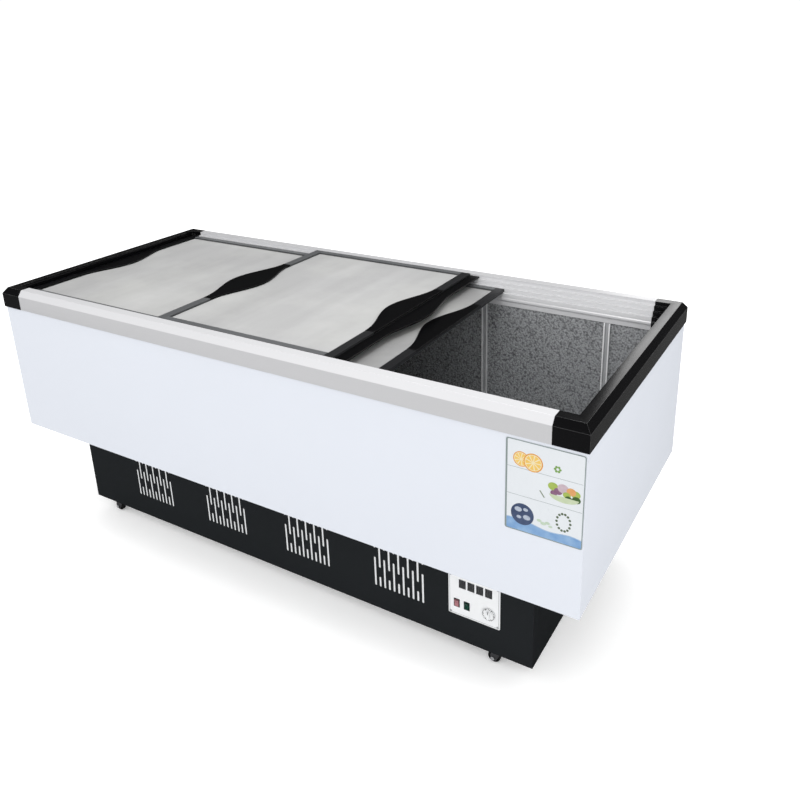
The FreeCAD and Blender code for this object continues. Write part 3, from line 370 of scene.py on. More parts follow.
def pane_glass(name, share):
    """Frosted pane: cloudy, wiped in streaks, brighter where the frost is thick, slightly see-through."""
    # A share under 1 darkens the whole pane as painted shade
    material = finish(name, shaded(colours().pane, share), 0.22, other=shaded((0.42, 0.42, 0.405), share),
                      tone=0.6, tone_scale=2.2, spread=0.14, grain=160.0, bump=0.00003, dust=0.0,
                      Specular_IOR_Level=0.35)
    tree = material.node_tree
    thick = ramp(tree, cloud(tree, 3.2, spread_coordinates(tree), 7.0), 0.42, 0.68)
    wiped = ramp(tree, cloud(tree, 2.6, spread_coordinates(tree, (2.8, 0.25, 1.0)), 4.0), 0.40, 0.64)
    overlaid(material, sums(tree, "MULTIPLY", thick, 0.20), (0.63, 0.635, 0.59, 1))
    overlaid(material, sums(tree, "MULTIPLY", wiped, 0.22), (0.68, 0.68, 0.685, 1))
    veil = new_node(tree, "ShaderNodeMapRange", {"Value": thick, "To Min": 0.86, "To Max": 0.96}).outputs[0]
    tree.links.new(veil, tree.nodes["Principled BSDF"].inputs["Alpha"])
    return material


def white_moulding():
    return finish("white_moulding", colours().control, 0.32, tone=0.3, spread=0.08, grain=900.0, bump=0.00003,
                  dust=0.03)


def guide_white():
    return finish("guide_white", (0.94, 0.945, 0.95), 0.30, tone=0.3, spread=0.08, grain=600.0, dust=0.0)


def filter_mat():
    return finish("filter_felt", (0.80, 0.81, 0.82), 0.85, other=(0.62, 0.63, 0.64), tone=0.7,
                  tone_scale=60.0, grain=1400.0, bump=0.0004, dust=0.0)


def seal_rubber():
    return finish("seal_rubber", (0.012, 0.012, 0.012), 0.55, grain=1200.0, bump=0.00003)


def black_matte():
    return finish("black_matte", (0.018, 0.018, 0.019), 0.5, grain=1000.0, bump=0.00004)


def rim_grey():
    return finish("rim_grey", (0.36, 0.38, 0.39), 0.4, grain=900.0, dust=0.0)


def louvre_grey():
    return finish("louvre_grey", (0.085, 0.088, 0.092), 0.4, grain=900.0, dust=0.0)


def zinc():
    return finish("bright_zinc", (0.55, 0.56, 0.58), 0.28, other=(0.40, 0.41, 0.42), tone=0.8,
                  tone_scale=60.0, spread=0.15, grain=300.0, Metallic=0.35)


def fork_steel():
    return finish("fork_steel", (0.045, 0.045, 0.05), 0.3, other=(0.09, 0.09, 0.095), tone=0.8,
                  tone_scale=60.0, spread=0.15, grain=300.0, Metallic=0.3)


def galvanised():
    return finish("galvanised", (0.50, 0.51, 0.52), 0.42, other=(0.36, 0.37, 0.38), tone=0.9, tone_scale=45.0,
                  grain=200.0, Metallic=0.35)


def bare_aluminium():
    return finish("bare_aluminium", (0.62, 0.63, 0.64), 0.38, tone=0.6, tone_scale=12.0, Metallic=0.35)


def copper():
    return finish("copper_tube", (0.55, 0.24, 0.13), 0.32, other=(0.33, 0.15, 0.09), tone=0.8,
                  tone_scale=14.0, Metallic=0.5)


def foam():
    return finish("rigid_foam", (0.72, 0.62, 0.36), 0.85, other=(0.60, 0.50, 0.27), tone=0.7, tone_scale=30.0,
                  grain=350.0, bump=0.0005)


def wheel_rubber():
    return finish("tyre_black", (0.009, 0.009, 0.010), 0.22, other=(0.018, 0.018, 0.018), tone=0.6,
                  tone_scale=50.0, spread=0.18, grain=700.0, bump=0.00004)


def rocker_plastic(name, base):
    return finish(name, base, 0.22, other=shaded(base, 1.5), tone=0.5, tone_scale=70.0,
                  grain=900.0, dust=0.0, Coat_Weight=0.4)


def compressor_paint():
    return finish("pot_paint", (0.012, 0.012, 0.013), 0.28, grain=300.0, bump=0.00004, Coat_Weight=0.3)


def printed(name, base, other, scale=60.0):
    """Ink on the plate's film, shifting between two tones."""
    return finish(name, shaded(base, 0.72), 0.28, other=shaded(other, 0.72), tone=1.0, tone_scale=scale,
                  spread=0.04, grain=900.0, bump=0.00001, dust=0.0, Coat_Weight=0.5, Coat_Roughness=0.05)


# Mesh helpers --------------------------------------------------------------------------------------

def made(name, sheet, body, material, replaced=()):
    """Object from a bmesh, finished and riding on its body."""
    mesh = bpy.data.meshes.new(name)
    bmesh.ops.recalc_face_normals(sheet, faces=sheet.faces)
    sheet.to_mesh(mesh)
    sheet.free()
    mesh.shade_smooth()
    mesh.set_sharp_from_angle(angle=math.radians(32))
    mesh.materials.append(material)
    piece = bpy.data.objects.new(name, mesh)
    bpy.context.scene.collection.objects.link(piece)
    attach(piece, body)
    if replaced:
        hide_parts(*replaced)
    return piece


def rounded_edges(piece, width, segments):
    bevel = piece.modifiers.new("rounded_edges", "BEVEL")
    bevel.width = width
    bevel.segments = segments
    bevel.limit_method = "ANGLE"
    bevel.angle_limit = math.radians(30)
    bevel.harden_normals = True


def softened(node, width, material, segments=3, edge=None):
    """A CAD piece with its flat faces made whole and its edges rounded, with the rounded faces in the edge
    finish if given; the edge finishes here are painted highlights.
    """
    sheet = bmesh.new()
    sheet.from_mesh(frame["nodes"][node].data)
    bmesh.ops.remove_doubles(sheet, verts=sheet.verts, dist=1e-6)
    bmesh.ops.dissolve_limit(sheet, angle_limit=math.radians(0.5), verts=sheet.verts, edges=sheet.edges)
    piece = made(node + "_finished", sheet, BODY_OF[node], material, (node,))
    rounded_edges(piece, width, segments)
    if edge:
        piece.data.materials.append(edge)
        piece.modifiers["rounded_edges"].material = 1
    return piece


def coated(node, material):
    """A CAD piece as it is, with a better material."""
    slots = frame["nodes"][node].material_slots
    for slot in slots:
        slot.material = material
    if not slots:
        frame["nodes"][node].data.materials.append(material)


def block(sheet, low, high):
    """Cuboid between two corners."""
    corners = [sheet.verts.new((x, y, z)) for x in (low[0], high[0]) for y in (low[1], high[1])
               for z in (low[2], high[2])]
    for face in ((0, 1, 3, 2), (4, 6, 7, 5), (0, 4, 5, 1), (2, 3, 7, 6), (0, 2, 6, 4), (1, 5, 7, 3)):
        sheet.faces.new([corners[index] for index in face])


def tablet(sheet, outline, y, depth):
    """Thin flat shape on the front: outline in (x, z), its back at y and depth thick."""
    back = [sheet.verts.new((x, y, z)) for x, z in outline]
    front = [sheet.verts.new((x, y - depth, z)) for x, z in outline]
    sheet.faces.new(back)
    sheet.faces.new(list(reversed(front)))
    for index in range(len(outline)):
        following = (index + 1) % len(outline)
        sheet.faces.new((back[index], back[following], front[following], front[index]))


def raised_ring(sheet, outer, inner, y, proud):
    """Flat ring on the front between two outlines of as many points."""
    rings = [[sheet.verts.new((x, place, z)) for x, z in points]
             for points, place in ((outer, y), (outer, y - proud), (inner, y - proud), (inner, y))]
    for ring, following in zip(rings, rings[1:] + rings[:1]):
        for index in range(len(ring)):
            after = (index + 1) % len(ring)
            sheet.faces.new((ring[index], ring[after], following[after], following[index]))


def circle(x, z, radius, count=40, squash=1.0, start=0.0, sweep=2 * math.pi):
    """Points round a circle or an arc, in (x, z)."""
    steps = count if sweep >= 2 * math.pi else count + 1
    return [(x + radius * math.cos(start + sweep * step / count),
             z + radius * squash * math.sin(start + sweep * step / count)) for step in range(steps)]


def rounded_box(low_x, high_x, low_z, high_z, radius, steps=6):
    """Outline of a rectangle with round corners, in (x, z)."""
    points = []
    for x, z, start in ((high_x - radius, high_z - radius, 0.0), (low_x + radius, high_z - radius, 0.5),
                        (low_x + radius, low_z + radius, 1.0), (high_x - radius, low_z + radius, 1.5)):
        points += circle(x, z, radius, steps, start=start * math.pi, sweep=math.pi / 2)
    return points


def lathe(sheet, centre, axis, profile, count):
    """Turned shape about an axis through centre; the profile is (distance along, radius)."""
    along = Vector(axis).normalized()
    across = along.orthogonal().normalized()
    other = along.cross(across)
    rings = []
    for step in range(count):
        angle = 2 * math.pi * step / count
        outward = across * math.cos(angle) + other * math.sin(angle)
        rings.append([sheet.verts.new(Vector(centre) + along * place + outward * radius)
                      for place, radius in profile])
    for step in range(count):
        first, second = rings[step], rings[(step + 1) % count]
        for index in range(len(profile) - 1):
            sheet.faces.new((first[index], first[index + 1], second[index + 1], second[index]))
    if profile[0][1] > 0 and profile[0] != profile[-1]:
        sheet.faces.new([ring[0] for ring in rings])
        sheet.faces.new([ring[-1] for ring in reversed(rings)])


# Pieces --------------------------------------------------------------------------------------------

class FREEZER_OT_cabinet(bpy.types.Operator):
    """Skins, floor pan and foam of the insulated cabinet"""
    bl_idname = "freezer.cabinet"
    bl_label = "Cabinet skins"

    def execute(self, context):
        for node in ("front_panel", "rear_panel"):
            softened(node, sizes().sheet_edge * 0.5, enamel(), 2)
        # Side skins: a copy of the enamel painted paler, as painted light on the sides
        for node in ("left_side_panel", "right_side_panel"):
            softened(node, sizes().sheet_edge * 0.5, enamel("side_enamel_painted_light", 1.22), 2)
        coated("cabinet_floor_pan", galvanised())
        coated("foam_insulation", foam())
        coated("evaporator_tube", bare_aluminium())
        return {"FINISHED"}


class FREEZER_OT_top_frame(bpy.types.Operator):
    """Aluminium rails and the plastic caps on their ends"""
    bl_idname = "freezer.top_frame"
    bl_label = "Top frame"

    def execute(self, context):
        # Painted light on the rails: the front rail's standing facets and the rear rail's lying facets are
        # painted darker
        for node, lying, standing in (("front_rail", 0.94, 0.72), ("rear_rail", 0.78, 1.0)):
            softened(node, sizes().rail_edge, rail_metal(node + "_metal", lying, standing))
        for node in ("left_end_cap", "right_end_cap"):
            # The caps' rounded edges are painted pale grey as a painted highlight
            softened(node, sizes().cap_edge, black_gloss(), edge=painted_edge_highlight("cap_edge_painted_highlight", 0.14))
        return {"FINISHED"}


class FREEZER_OT_tub(bpy.types.Operator):
    """Embossed lining of the tub and the white channels up its walls"""
    bl_idname = "freezer.tub"
    bl_label = "Tub"

    def execute(self, context):
        coated("inner_liner", tub_metal())
        softened("divider_guides", 0.0005, bare_aluminium(), 2)
        guide_lips()
        return {"FINISHED"}


def guide_lips():
    """White lips down both edges of each upright channel in the tub."""
    low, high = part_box("divider_guides")
    width, proud = 4.0 * MM, 0.6 * MM
    half, deep, sunk = 10 * MM, 6 * MM, 5 * MM
    outer, inner = 785 * MM, 375 * MM
    sheet = bmesh.new()
    for place in (-outer, -inner, inner, outer):
        for edge in (place - half, place + half - width):
            block(sheet, (edge, high.y - deep - proud, low.z), (edge + width, high.y - sunk, high.z))
            block(sheet, (edge, low.y + sunk, low.z), (edge + width, low.y + deep + proud, high.z))
    made("guide_lips", sheet, "cabinet", guide_white())


class FREEZER_OT_lids(bpy.types.Operator):
    """Panes, seals, frames, pulls and gliders of the three sliding lids"""
    bl_idname = "freezer.lids"
    bl_label = "Sliding lids"

    def execute(self, context):
        for name in ("left_lid", "middle_lid", "right_lid"):
            # The right lid's pane is darkened to 0.72 as painted shade under the middle lid
            coated(name + "_glass", pane_glass(name + "_frost", 0.72 if name == "right_lid" else 1.0))
            coated(name + "_gliders", guide_white())
            softened(name + "_frame", sizes().lid_edge, lid_moulding(name))
            pane_seal(name)
        for node in ("left_lid_handle", "middle_lid_left_handle", "middle_lid_right_handle",
                     "right_lid_handle"):
            # The pulls' rounded edges get a faint painted highlight
            softened(node, 0.0016, pull_black(), 4, edge=painted_edge_highlight("pull_edge_painted_highlight", 0.05))
        return {"FINISHED"}


def pane_seal(name):
    """Black lip round the pane, just inside the frame."""
    low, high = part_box(name + "_glass")
    groove = 6 * MM
    width = sizes().seal_width
    top = high.z
    proud = 0.8 * MM
    sheet = bmesh.new()
    inner_low = Vector((low.x + groove, low.y + groove, 0))
    inner_high = Vector((high.x - groove, high.y - groove, 0))
    block(sheet, (inner_low.x, inner_low.y, top), (inner_high.x, inner_low.y + width, top + proud))
    block(sheet, (inner_low.x, inner_high.y - width, top), (inner_high.x, inner_high.y, top + proud))
    for x in (inner_low.x, inner_high.x - width):
        block(sheet, (x, inner_low.y + width, top), (x + width, inner_high.y - width, top + proud))
    piece = made(name + "_seal", sheet, name, seal_rubber())
    rounded_edges(piece, 0.0003, 2)


class FREEZER_OT_plinth(bpy.types.Operator):
    """Black plinth with its grilles and the filter mats behind them"""
    bl_idname = "freezer.plinth"
    bl_label = "Plinth"

    def execute(self, context):
        for side in ("front", "rear", "left", "right"):
            coated("plinth_%s_panel" % side, powder_coat())
        coated("base_tray", galvanised())
        coated("grille_filter_pads", filter_mat())
        coated("cable_gland", black_matte())
        return {"FINISHED"}


class FREEZER_OT_controls(bpy.types.Operator):
    """Control panel with its vents, rocker switches, dial and screws"""
    bl_idname = "freezer.controls"
    bl_label = "Control panel"

    def execute(self, context):
        softened("control_panel", 0.0006, white_moulding(), 2)
        panel_rim()
        vent_mesh()
        coated("switch_housings", black_matte())
        softened("power_rocker", 0.0007, rocker_plastic("power_cap_plastic", colours().power))
        softened("light_rocker", 0.0007, rocker_plastic("light_cap_plastic", colours().light))
        thermostat()
        coated("thermostat_body", black_matte())
        panel_screws()
        return {"FINISHED"}


def panel_rim():
    """Raised line a little inside the panel's edge."""
    low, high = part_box("control_panel")
    inset, width, proud = 3.5 * MM, 1.0 * MM, 0.5 * MM
    sheet = bmesh.new()
    outer = rounded_box(low.x + inset, high.x - inset, low.z + inset, high.z - inset, 3 * MM)
    inner = rounded_box(low.x + inset + width, high.x - inset - width, low.z + inset + width,
                        high.z - inset - width, 2 * MM)
    raised_ring(sheet, outer, inner, low.y, proud)
    made("control_panel_rim", sheet, "cabinet", rim_grey())


def vent_mesh():
    """Louvre bars in the four vents above the switches."""
    low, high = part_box("control_panel")
    sheet = bmesh.new()
    vents, first, pitch, width = 4, low.x + 31 * MM, 25.7 * MM, 21 * MM
    bottom, top = low.z + 90 * MM, low.z + 118 * MM
    bars, bar_half, upright_half = 7, 0.7 * MM, 0.5 * MM
    for number in range(vents):
        left = first + number * pitch
        for bar in range(bars):
            z = bottom + (bar + 0.5) * (top - bottom) / bars
            block(sheet, (left, low.y + 0.4 * MM, z - bar_half),
                  (left + width, high.y - 0.2 * MM, z + bar_half))
        for upright in (1, 2):
            x = left + upright * width / 3
            block(sheet, (x - upright_half, low.y + 0.6 * MM, bottom),
                  (x + upright_half, high.y - 0.3 * MM, top))
    made("vent_louvres", sheet, "cabinet", louvre_grey())


def thermostat():
    """White dial with marks round its skirt and a dark pointer on the grip."""
    low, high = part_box("thermostat_dial")
    x, z = (low.x + high.x) / 2, (low.z + high.z) / 2
    softened("thermostat_dial", 0.0009, white_moulding())
    radius = (high.x - low.x) / 2
    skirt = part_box("control_panel")[0].y - 3.5 * MM
    wide, root, tip = 0.9 * MM, 4 * MM, 12 * MM
    marks = bmesh.new()
    count = sizes().dial_marks
    for number in range(count):
        angle = 2 * math.pi * number / count
        long = number % 4 == 0
        inner, outer = radius * (0.73 if long else 0.80), radius * 0.97
        half = 0.075 if long else 0.05
        corners = [(x + r * math.cos(angle + turn), z + r * math.sin(angle + turn))
                   for r, turn in ((inner, -half), (outer, -half), (outer, half), (inner, half))]
        tablet(marks, corners, skirt, 0.3 * MM)
    tablet(marks, [(x - wide, z + root), (x + wide, z + root), (x + wide, z + tip), (x - wide, z + tip)],
           low.y + 0.05 * MM, 0.25 * MM)
    made("dial_marks", marks, "thermostat_dial", black_matte())


def panel_screws():
    """Pan-head screws with a cross recess."""
    low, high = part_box("control_panel_screws")
    sheet = bmesh.new()
    head, depth, slot = 4 * MM, 1.6 * MM, 0.5 * MM
    for x in (low.x + head, high.x - head):
        for z in (low.z + head, high.z - head):
            back = low.y + depth
            lathe(sheet, (x, back, z), (0, -1, 0),
                  [(0, head), (depth * 0.35, head * 0.98), (depth * 0.75, head * 0.80),
                   (depth * 0.95, head * 0.5), (depth, 0.28 * head)], 24)
            for wide, tall in ((0.6 * head, slot), (slot, 0.6 * head)):
                block(sheet, (x - wide, low.y - 0.02 * MM, z - tall), (x + wide, low.y + 0.3 * MM, z + tall))
    made("panel_screw_heads", sheet, "cabinet", zinc(),
         ("control_panel_screws",))


class FREEZER_OT_info_plate(bpy.types.Operator):
    """Printed plate on the front skin, with plain pictures of food and water"""
    bl_idname = "freezer.info_plate"
    bl_label = "Info plate"

    def execute(self, context):
        low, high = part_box("info_plate")
        white = printed("plate_white", (0.90, 0.93, 0.96), (0.82, 0.86, 0.90), 8.0)
        softened("info_plate", 0.0004, white, 2)
        border(low, high)
        citrus(low, high)
        bowl(low, high)
        globe_and_water(low, high)
        return {"FINISHED"}


def picture(name, shapes, material, y, depth=0.12 * MM):
    """Inked shapes lying on the plate."""
    sheet = bmesh.new()
    for outline in shapes:
        tablet(sheet, outline, y, depth)
    made(name, sheet, "cabinet", material)


def border(low, high):
    """Grey edge of the plate and the two thin lines between its bands."""
    grey = printed("plate_grey", (0.22, 0.28, 0.265), (0.36, 0.42, 0.42), 20.0)
    sheet = bmesh.new()
    width, wide = 2.2 * MM, 4.2 * MM
    outer = rounded_box(low.x, high.x, low.z, high.z, 5 * MM, 8)
    inner = rounded_box(low.x + wide, high.x - width, low.z + width, high.z - width, 3.5 * MM, 8)
    raised_ring(sheet, outer, inner, low.y, 0.25 * MM)
    for share in (0.30, 0.60):
        z = high.z - share * (high.z - low.z)
        tablet(sheet, [(low.x + 4 * MM, z), (high.x - 4 * MM, z), (high.x - 4 * MM, z + 0.7 * MM),
                       (low.x + 4 * MM, z + 0.7 * MM)], low.y, 0.15 * MM)
    made("plate_lines", sheet, "cabinet", grey)


def citrus(low, high):
    """Two cut oranges in the top band and a small leaf ring beside them."""
    orange = printed("orange_peel", (0.85, 0.30, 0.03), (0.90, 0.45, 0.06), 90.0)
    flesh = printed("orange_flesh", (0.95, 0.55, 0.08), (0.98, 0.70, 0.20), 160.0)
    pith = printed("orange_pith", (0.95, 0.80, 0.45), (0.97, 0.88, 0.62), 120.0)
    z = high.z - 48 * MM
    centres = ((low.x + 37 * MM, z + 1 * MM, 19 * MM), (low.x + 66 * MM, z - 1 * MM, 23 * MM))
    wedges, gap = 9, 0.09
    layers = {"peels": [], "piths": [], "segments": []}
    for number, (x, place, radius) in enumerate(centres):
        layers["peels"].append((circle(x, place, radius), number))
        layers["piths"].append((circle(x, place, radius * 0.88), number))
        for wedge in range(wedges):
            start = 2 * math.pi * wedge / wedges + gap
            arc = circle(x, place, radius * 0.80, 6, start=start, sweep=2 * math.pi / wedges - 2 * gap)
            root = (x + radius * 0.12 * math.cos(start + math.pi / wedges),
                    place + radius * 0.12 * math.sin(start + math.pi / wedges))
            layers["segments"].append((arc + [root], number))
    for (name, outlines), material, lift in zip(layers.items(), (orange, pith, flesh), (0.12, 0.16, 0.20)):
        for number in range(len(centres)):
            shapes = [outline for outline, owner in outlines if owner == number]
            picture("%s_%d" % (name, number), shapes, material, low.y, (lift + 0.12 * number) * MM)
    green = printed("leaf_green", (0.16, 0.34, 0.06), (0.30, 0.50, 0.14), 110.0)
    leaf_x, leaf_z = high.x - 63 * MM, z - 1 * MM
    leaves = [circle(leaf_x + 6 * MM * math.cos(turn), leaf_z + 6 * MM * math.sin(turn), 3.0 * MM, 14)
              for turn in (step * math.pi / 3 for step in range(6))]
    for number, leaf in enumerate(leaves):
        picture("leaf_%d" % number, [leaf], green, low.y, (0.10 + 0.01 * number) * MM)


def bowl(low, high):
    """Bowl of round vegetables in the middle band."""
    x, z = high.x - 46 * MM, low.z + 0.55 * (high.z - low.z)
    colours_of = {"aubergine": ((0.20, 0.07, 0.16), (0.40, 0.22, 0.34)),
                  "lettuce": ((0.30, 0.45, 0.06), (0.55, 0.66, 0.16)),
                  "carrot": ((0.80, 0.32, 0.10), (0.86, 0.50, 0.20)),
                  "radish": ((0.55, 0.40, 0.48), (0.75, 0.62, 0.66)),
                  "cucumber": ((0.03, 0.09, 0.02), (0.10, 0.20, 0.05))}
    heap = (("lettuce", -26, 12, 12), ("lettuce", 26, 6, 11), ("aubergine", -14, 3, 10),
            ("radish", -3, 13, 13), ("carrot", 16, 10, 11), ("cucumber", 28, -7, 10), ("lettuce", 6, -1, 9),
            ("aubergine", -24, -4, 8), ("cucumber", 10, -9, 8))
    for number, (kind, across, up, radius) in enumerate(heap):
        first, second = colours_of[kind]
        picture("heap_%d" % number, [circle(x + across * MM, z + up * MM, radius * MM, 26, squash=0.85)],
                printed("ink_" + kind, first, second, 130.0), low.y, (0.10 + 0.03 * number) * MM)
    dish = circle(x, z - 8 * MM, 34 * MM, 24, squash=0.42, start=math.pi, sweep=math.pi)
    picture("dish", [dish], printed("ink_dish", (0.55, 0.66, 0.40), (0.72, 0.80, 0.58)), low.y, 0.42 * MM)
    stalk = [(x - 58 * MM, z - 8 * MM), (x - 55 * MM, z - 7 * MM), (x - 44 * MM, z - 22 * MM),
             (x - 47 * MM, z - 23 * MM)]
    picture("stalk", [stalk], printed("ink_stalk", (0.20, 0.26, 0.18), (0.35, 0.40, 0.30)), low.y)


def globe_and_water(low, high):
    """Dark ball, a ring of dots and rippling water in the bottom band."""
    width = high.x - low.x
    crest = low.z + 27 * MM
    steps = 44
    ridge = []
    for step in range(steps + 1):
        share = step / steps
        ripple = 5 * MM * math.sin(share * 9.0) * (0.4 + 0.6 * share) + 5 * MM * math.cos(share * 3.0)
        ridge.append((low.x + 4.4 * MM + share * (width - 6.8 * MM), crest + ripple))
    bottom = [(x, z) for x, z in rounded_box(low.x + 4.4 * MM, high.x - 2.4 * MM, low.z + 2.4 * MM,
                                             low.z + 26 * MM, 3 * MM, 8) if z < low.z + 12 * MM]
    water = list(reversed(ridge)) + bottom
    picture("water", [water], printed("ink_water", (0.10, 0.28, 0.62), (0.42, 0.62, 0.86), 45.0), low.y,
            0.10 * MM)
    foam_line = ridge + [(x, z - 2.2 * MM) for x, z in reversed(ridge)]
    picture("ripple", [foam_line], printed("ink_ripple", (0.60, 0.76, 0.92), (0.20, 0.38, 0.66), 90.0), low.y,
            0.14 * MM)
    x, z = low.x + 43 * MM, low.z + 47 * MM
    picture("ball", [circle(x, z, 28 * MM)], printed("ink_ball", (0.03, 0.05, 0.12), (0.10, 0.14, 0.26)),
            low.y, 0.22 * MM)
    shine = [circle(x + across * MM, z + up * MM, radius * MM, 18, squash=0.7)
             for across, up, radius in ((-10, 11, 9), (8, 14, 6), (11, -6, 9), (-8, -9, 6))]
    picture("ball_shine", shine, printed("ink_shine", (0.72, 0.78, 0.86), (0.30, 0.36, 0.50), 150.0), low.y,
            0.28 * MM)
    dots = [circle(high.x - 45 * MM + 16 * MM * math.cos(turn), low.z + 57 * MM + 22 * MM * math.sin(turn),
                   3.1 * MM, 12) for turn in (step * math.pi / 7 for step in range(14))]
    picture("dot_ring", dots, printed("ink_dots", (0.06, 0.09, 0.05), (0.20, 0.26, 0.16), 120.0), low.y)
    tufts = [circle(low.x + across * MM, low.z + up * MM, radius * MM, 14, squash=0.6)
             for across, up, radius in ((84, 44, 6), (94, 39, 7), (104, 43, 6), (111, 36, 5))]
    for number, tuft in enumerate(tufts):
        picture("tuft_%d" % number, [tuft], printed("ink_tuft", (0.50, 0.66, 0.48), (0.70, 0.80, 0.66), 90.0),
                low.y, (0.11 + 0.02 * number) * MM)


class FREEZER_OT_machinery(bpy.types.Operator):
    """Compressor, condenser, fan and pipes inside the plinth"""
    bl_idname = "freezer.machinery"
    bl_label = "Machinery"

    def execute(self, context):
        coated("compressor", compressor_paint())
        coated("compressor_feet", seal_rubber())
        coated("condenser_fins", bare_aluminium())
        for node in ("condenser_tube", "filter_drier", "refrigerant_pipes"):
            coated(node, copper())
        for node in ("fan_bracket", "fan_motor"):
            coated(node, galvanised())
        coated("fan_blade", black_matte())
        return {"FINISHED"}


class FREEZER_OT_casters(bpy.types.Operator):
    """Four swivel casters with turned wheels"""
    bl_idname = "freezer.casters"
    bl_label = "Casters"

    def execute(self, context):
        coated("caster_plates", zinc())
        for corner in ("front_left", "front_right", "rear_left", "rear_right"):
            softened(corner + "_caster_fork", 0.0008, fork_steel())
            caster_wheel(corner)
            axle_caps(corner)
        return {"FINISHED"}


def caster_wheel(corner):
    """Tyre with a rounded tread, a recessed web and a raised hub."""
    node = corner + "_caster_wheel"
    low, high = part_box(node)
    centre = (low + high) / 2
    radius = (high.z - low.z) / 2
    half = (high.y - low.y) / 2
    bore = 4.05 * MM
    side = [(0.42 * half, bore), (half, bore), (half, 0.34 * radius), (0.72 * half, 0.40 * radius),
            (0.60 * half, 0.66 * radius), (0.86 * half, 0.74 * radius), (half, 0.80 * radius),
            (0.97 * half, 0.90 * radius), (0.78 * half, 0.972 * radius), (0.42 * half, radius)]
    profile = [(-place, distance) for place, distance in side]
    profile += [(place, distance) for place, distance in reversed(side)]
    profile.append(profile[0])
    sheet = bmesh.new()
    lathe(sheet, centre, (0, 1, 0), profile, 64)
    bmesh.ops.remove_doubles(sheet, verts=sheet.verts, dist=1e-7)
    made(node + "_turned", sheet, BODY_OF[node], wheel_rubber(), (node,))


def axle_caps(corner):
    """Bright domed caps pressed on both ends of the axle."""
    node = corner + "_caster_fork"
    low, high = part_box(node)
    wheel_low, wheel_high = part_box(corner + "_caster_wheel")
    x, z = (wheel_low.x + wheel_high.x) / 2, (wheel_low.z + wheel_high.z) / 2
    sheet = bmesh.new()
    for y, way in ((low.y + 0.6 * MM, -1), (high.y - 0.6 * MM, 1)):
        lathe(sheet, (x, y, z), (0, way, 0), [(0, 5.5 * MM), (0.8 * MM, 5.3 * MM), (1.6 * MM, 4 * MM),
                                              (2.1 * MM, 2 * MM), (2.2 * MM, 0.4 * MM)], 24)
    made(corner + "_axle_caps", sheet, BODY_OF[node], zinc())


class FREEZER_OT_stage(bpy.types.Operator):
    """Floor, lights and camera"""
    bl_idname = "freezer.stage"
    bl_label = "Stage"

    def execute(self, context):
        floor()
        lights()
        camera()
        return {"FINISHED"}


def floor():
    """Wide pale floor: dimmer in reflections, so that black parts stay black, and lit a little when seen."""
    sheet = bmesh.new()
    half = 120.0
    sheet.faces.new([sheet.verts.new(corner) for corner in ((-half, -half, 0), (half, -half, 0),
                                                           (half, half, 0), (-half, half, 0))])
    mesh = bpy.data.meshes.new("floor")
    sheet.to_mesh(mesh)
    sheet.free()
    material = finish("pale_floor", (0.985, 0.985, 0.985), 0.8, tone=0.02, bump=0.0, dust=0.0,
                      Specular_IOR_Level=0.0)
    tree = material.node_tree
    rays = new_node(tree, "ShaderNodeLightPath").outputs
    overlaid(material, rays["Is Glossy Ray"], (0.10, 0.10, 0.10, 1))
    shader = tree.nodes["Principled BSDF"]
    tree.links.new(blended(tree, rays["Is Camera Ray"], (0, 0, 0, 1), (1, 1, 1, 1)),
                   shader.inputs["Emission Color"])
    shader.inputs["Emission Strength"].default_value = 0.22
    mesh.materials.append(material)
    item = bpy.data.objects.new("floor", mesh)
    bpy.context.scene.collection.objects.link(item)


def area_light(name, place, target, size, power):
    data = bpy.data.lights.new(name, "AREA")
    data.shape = "RECTANGLE"
    data.size, data.size_y = size
    data.energy = power
    item = bpy.data.objects.new(name, data)
    item.location = place
    item.rotation_euler = (Vector(target) - Vector(place)).to_track_quat("-Z", "Y").to_euler()
    bpy.context.scene.collection.objects.link(item)


def lights():
    """White surroundings, dimmer in reflections, and soft lights in front, above, behind and over the tub."""
    world = bpy.data.worlds.new("studio")
    world.use_nodes = True
    tree = world.node_tree
    sky = tree.nodes["Background"]
    sky.inputs["Color"].default_value = (1.0, 1.0, 1.0, 1)
    around, mirrored, seen = 1.28, 0.05, 1.05
    rays = new_node(tree, "ShaderNodeLightPath").outputs
    unseen = new_node(tree, "ShaderNodeMix", {0: rays["Is Glossy Ray"], 2: around, 3: mirrored})
    strength = new_node(tree, "ShaderNodeMix", {0: rays["Is Camera Ray"], 2: unseen.outputs[0], 3: seen})
    tree.links.new(strength.outputs[0], sky.inputs["Strength"])
    bpy.context.scene.world = world
    area_light("key", (0.3, -4.6, 2.0), (0.0, -0.4, 0.1), (5.0, 2.4), 18.0)
    area_light("top", (-0.4, 0.0, 4.6), (0.0, 0.0, 0.5), (3.2, 2.4), 10.0)
    area_light("card", (0.35, 3.4, 2.2), (0.98, 0.2, 0.85), (0.9, 0.9), 7.5)
    area_light("tub", (0.72, -0.36, 2.4), (0.66, 0.30, 0.6), (0.5, 0.4), 8.0)


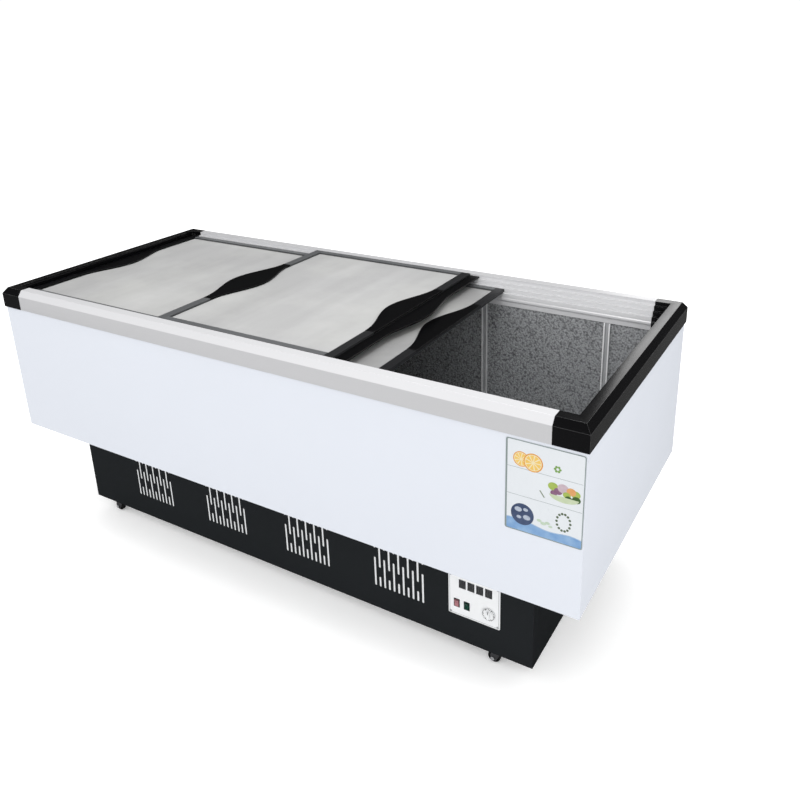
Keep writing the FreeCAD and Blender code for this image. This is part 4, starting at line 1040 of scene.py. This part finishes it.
def camera():
    """Camera at the right front, looking down and to the left."""
    place = Vector((1.4524, -1.8752, 1.6697))
    yaw, pitch, roll = math.radians(31.05), math.radians(19.77), math.radians(-1.49)
    forward = Vector((-math.sin(yaw) * math.cos(pitch), math.cos(yaw) * math.cos(pitch), -math.sin(pitch)))
    level = Vector((math.cos(yaw), math.sin(yaw), 0))
    upright = level.cross(forward)
    right = level * math.cos(roll) + upright * math.sin(roll)
    up = upright * math.cos(roll) - level * math.sin(roll)
    turn = Matrix((right, up, -forward)).transposed()
    data = bpy.data.cameras.new("camera")
    data.sensor_width = 36.0
    data.lens = 36.14
    data.shift_x = -0.0188
    data.shift_y = -0.125
    item = bpy.data.objects.new("camera", data)
    item.matrix_world = Matrix.Translation(place) @ turn.to_4x4()
    bpy.context.scene.collection.objects.link(item)
    bpy.context.scene.camera = item
    bpy.context.scene.view_settings.view_transform = "Standard"


# Add-on --------------------------------------------------------------------------------------------

OPERATORS = (FREEZER_OT_stage, FREEZER_OT_cabinet, FREEZER_OT_top_frame, FREEZER_OT_tub, FREEZER_OT_lids,
             FREEZER_OT_plinth, FREEZER_OT_controls, FREEZER_OT_info_plate, FREEZER_OT_machinery,
             FREEZER_OT_casters)


class FREEZER_PT_panel(bpy.types.Panel):
    """Sidebar panel that lists the freezer's colours, sizes and operators"""
    bl_idname = "FREEZER_PT_panel"
    bl_label = "Chest freezer"
    bl_space_type = "VIEW_3D"
    bl_region_type = "UI"
    bl_category = "Freezer"

    def draw(self, context):
        for settings in (context.scene.freezer_colours, context.scene.freezer_sizes):
            for name in settings.__annotations__:
                self.layout.prop(settings, name)
        for operator in OPERATORS:
            self.layout.operator(operator.bl_idname)


CLASSES = (FreezerColours, FreezerSizes) + OPERATORS + (FREEZER_PT_panel,)


def register():
    for item in CLASSES:
        bpy.utils.register_class(item)
    bpy.types.Scene.freezer_colours = PointerProperty(type=FreezerColours)
    bpy.types.Scene.freezer_sizes = PointerProperty(type=FreezerSizes)


def unregister():
    del bpy.types.Scene.freezer_sizes
    del bpy.types.Scene.freezer_colours
    for item in reversed(CLASSES):
        bpy.utils.unregister_class(item)


def main():
    register()
    for operator in OPERATORS:
        family, name = operator.bl_idname.split(".")
        getattr(getattr(bpy.ops, family), name)()


if __name__ == "__main__":
    main()
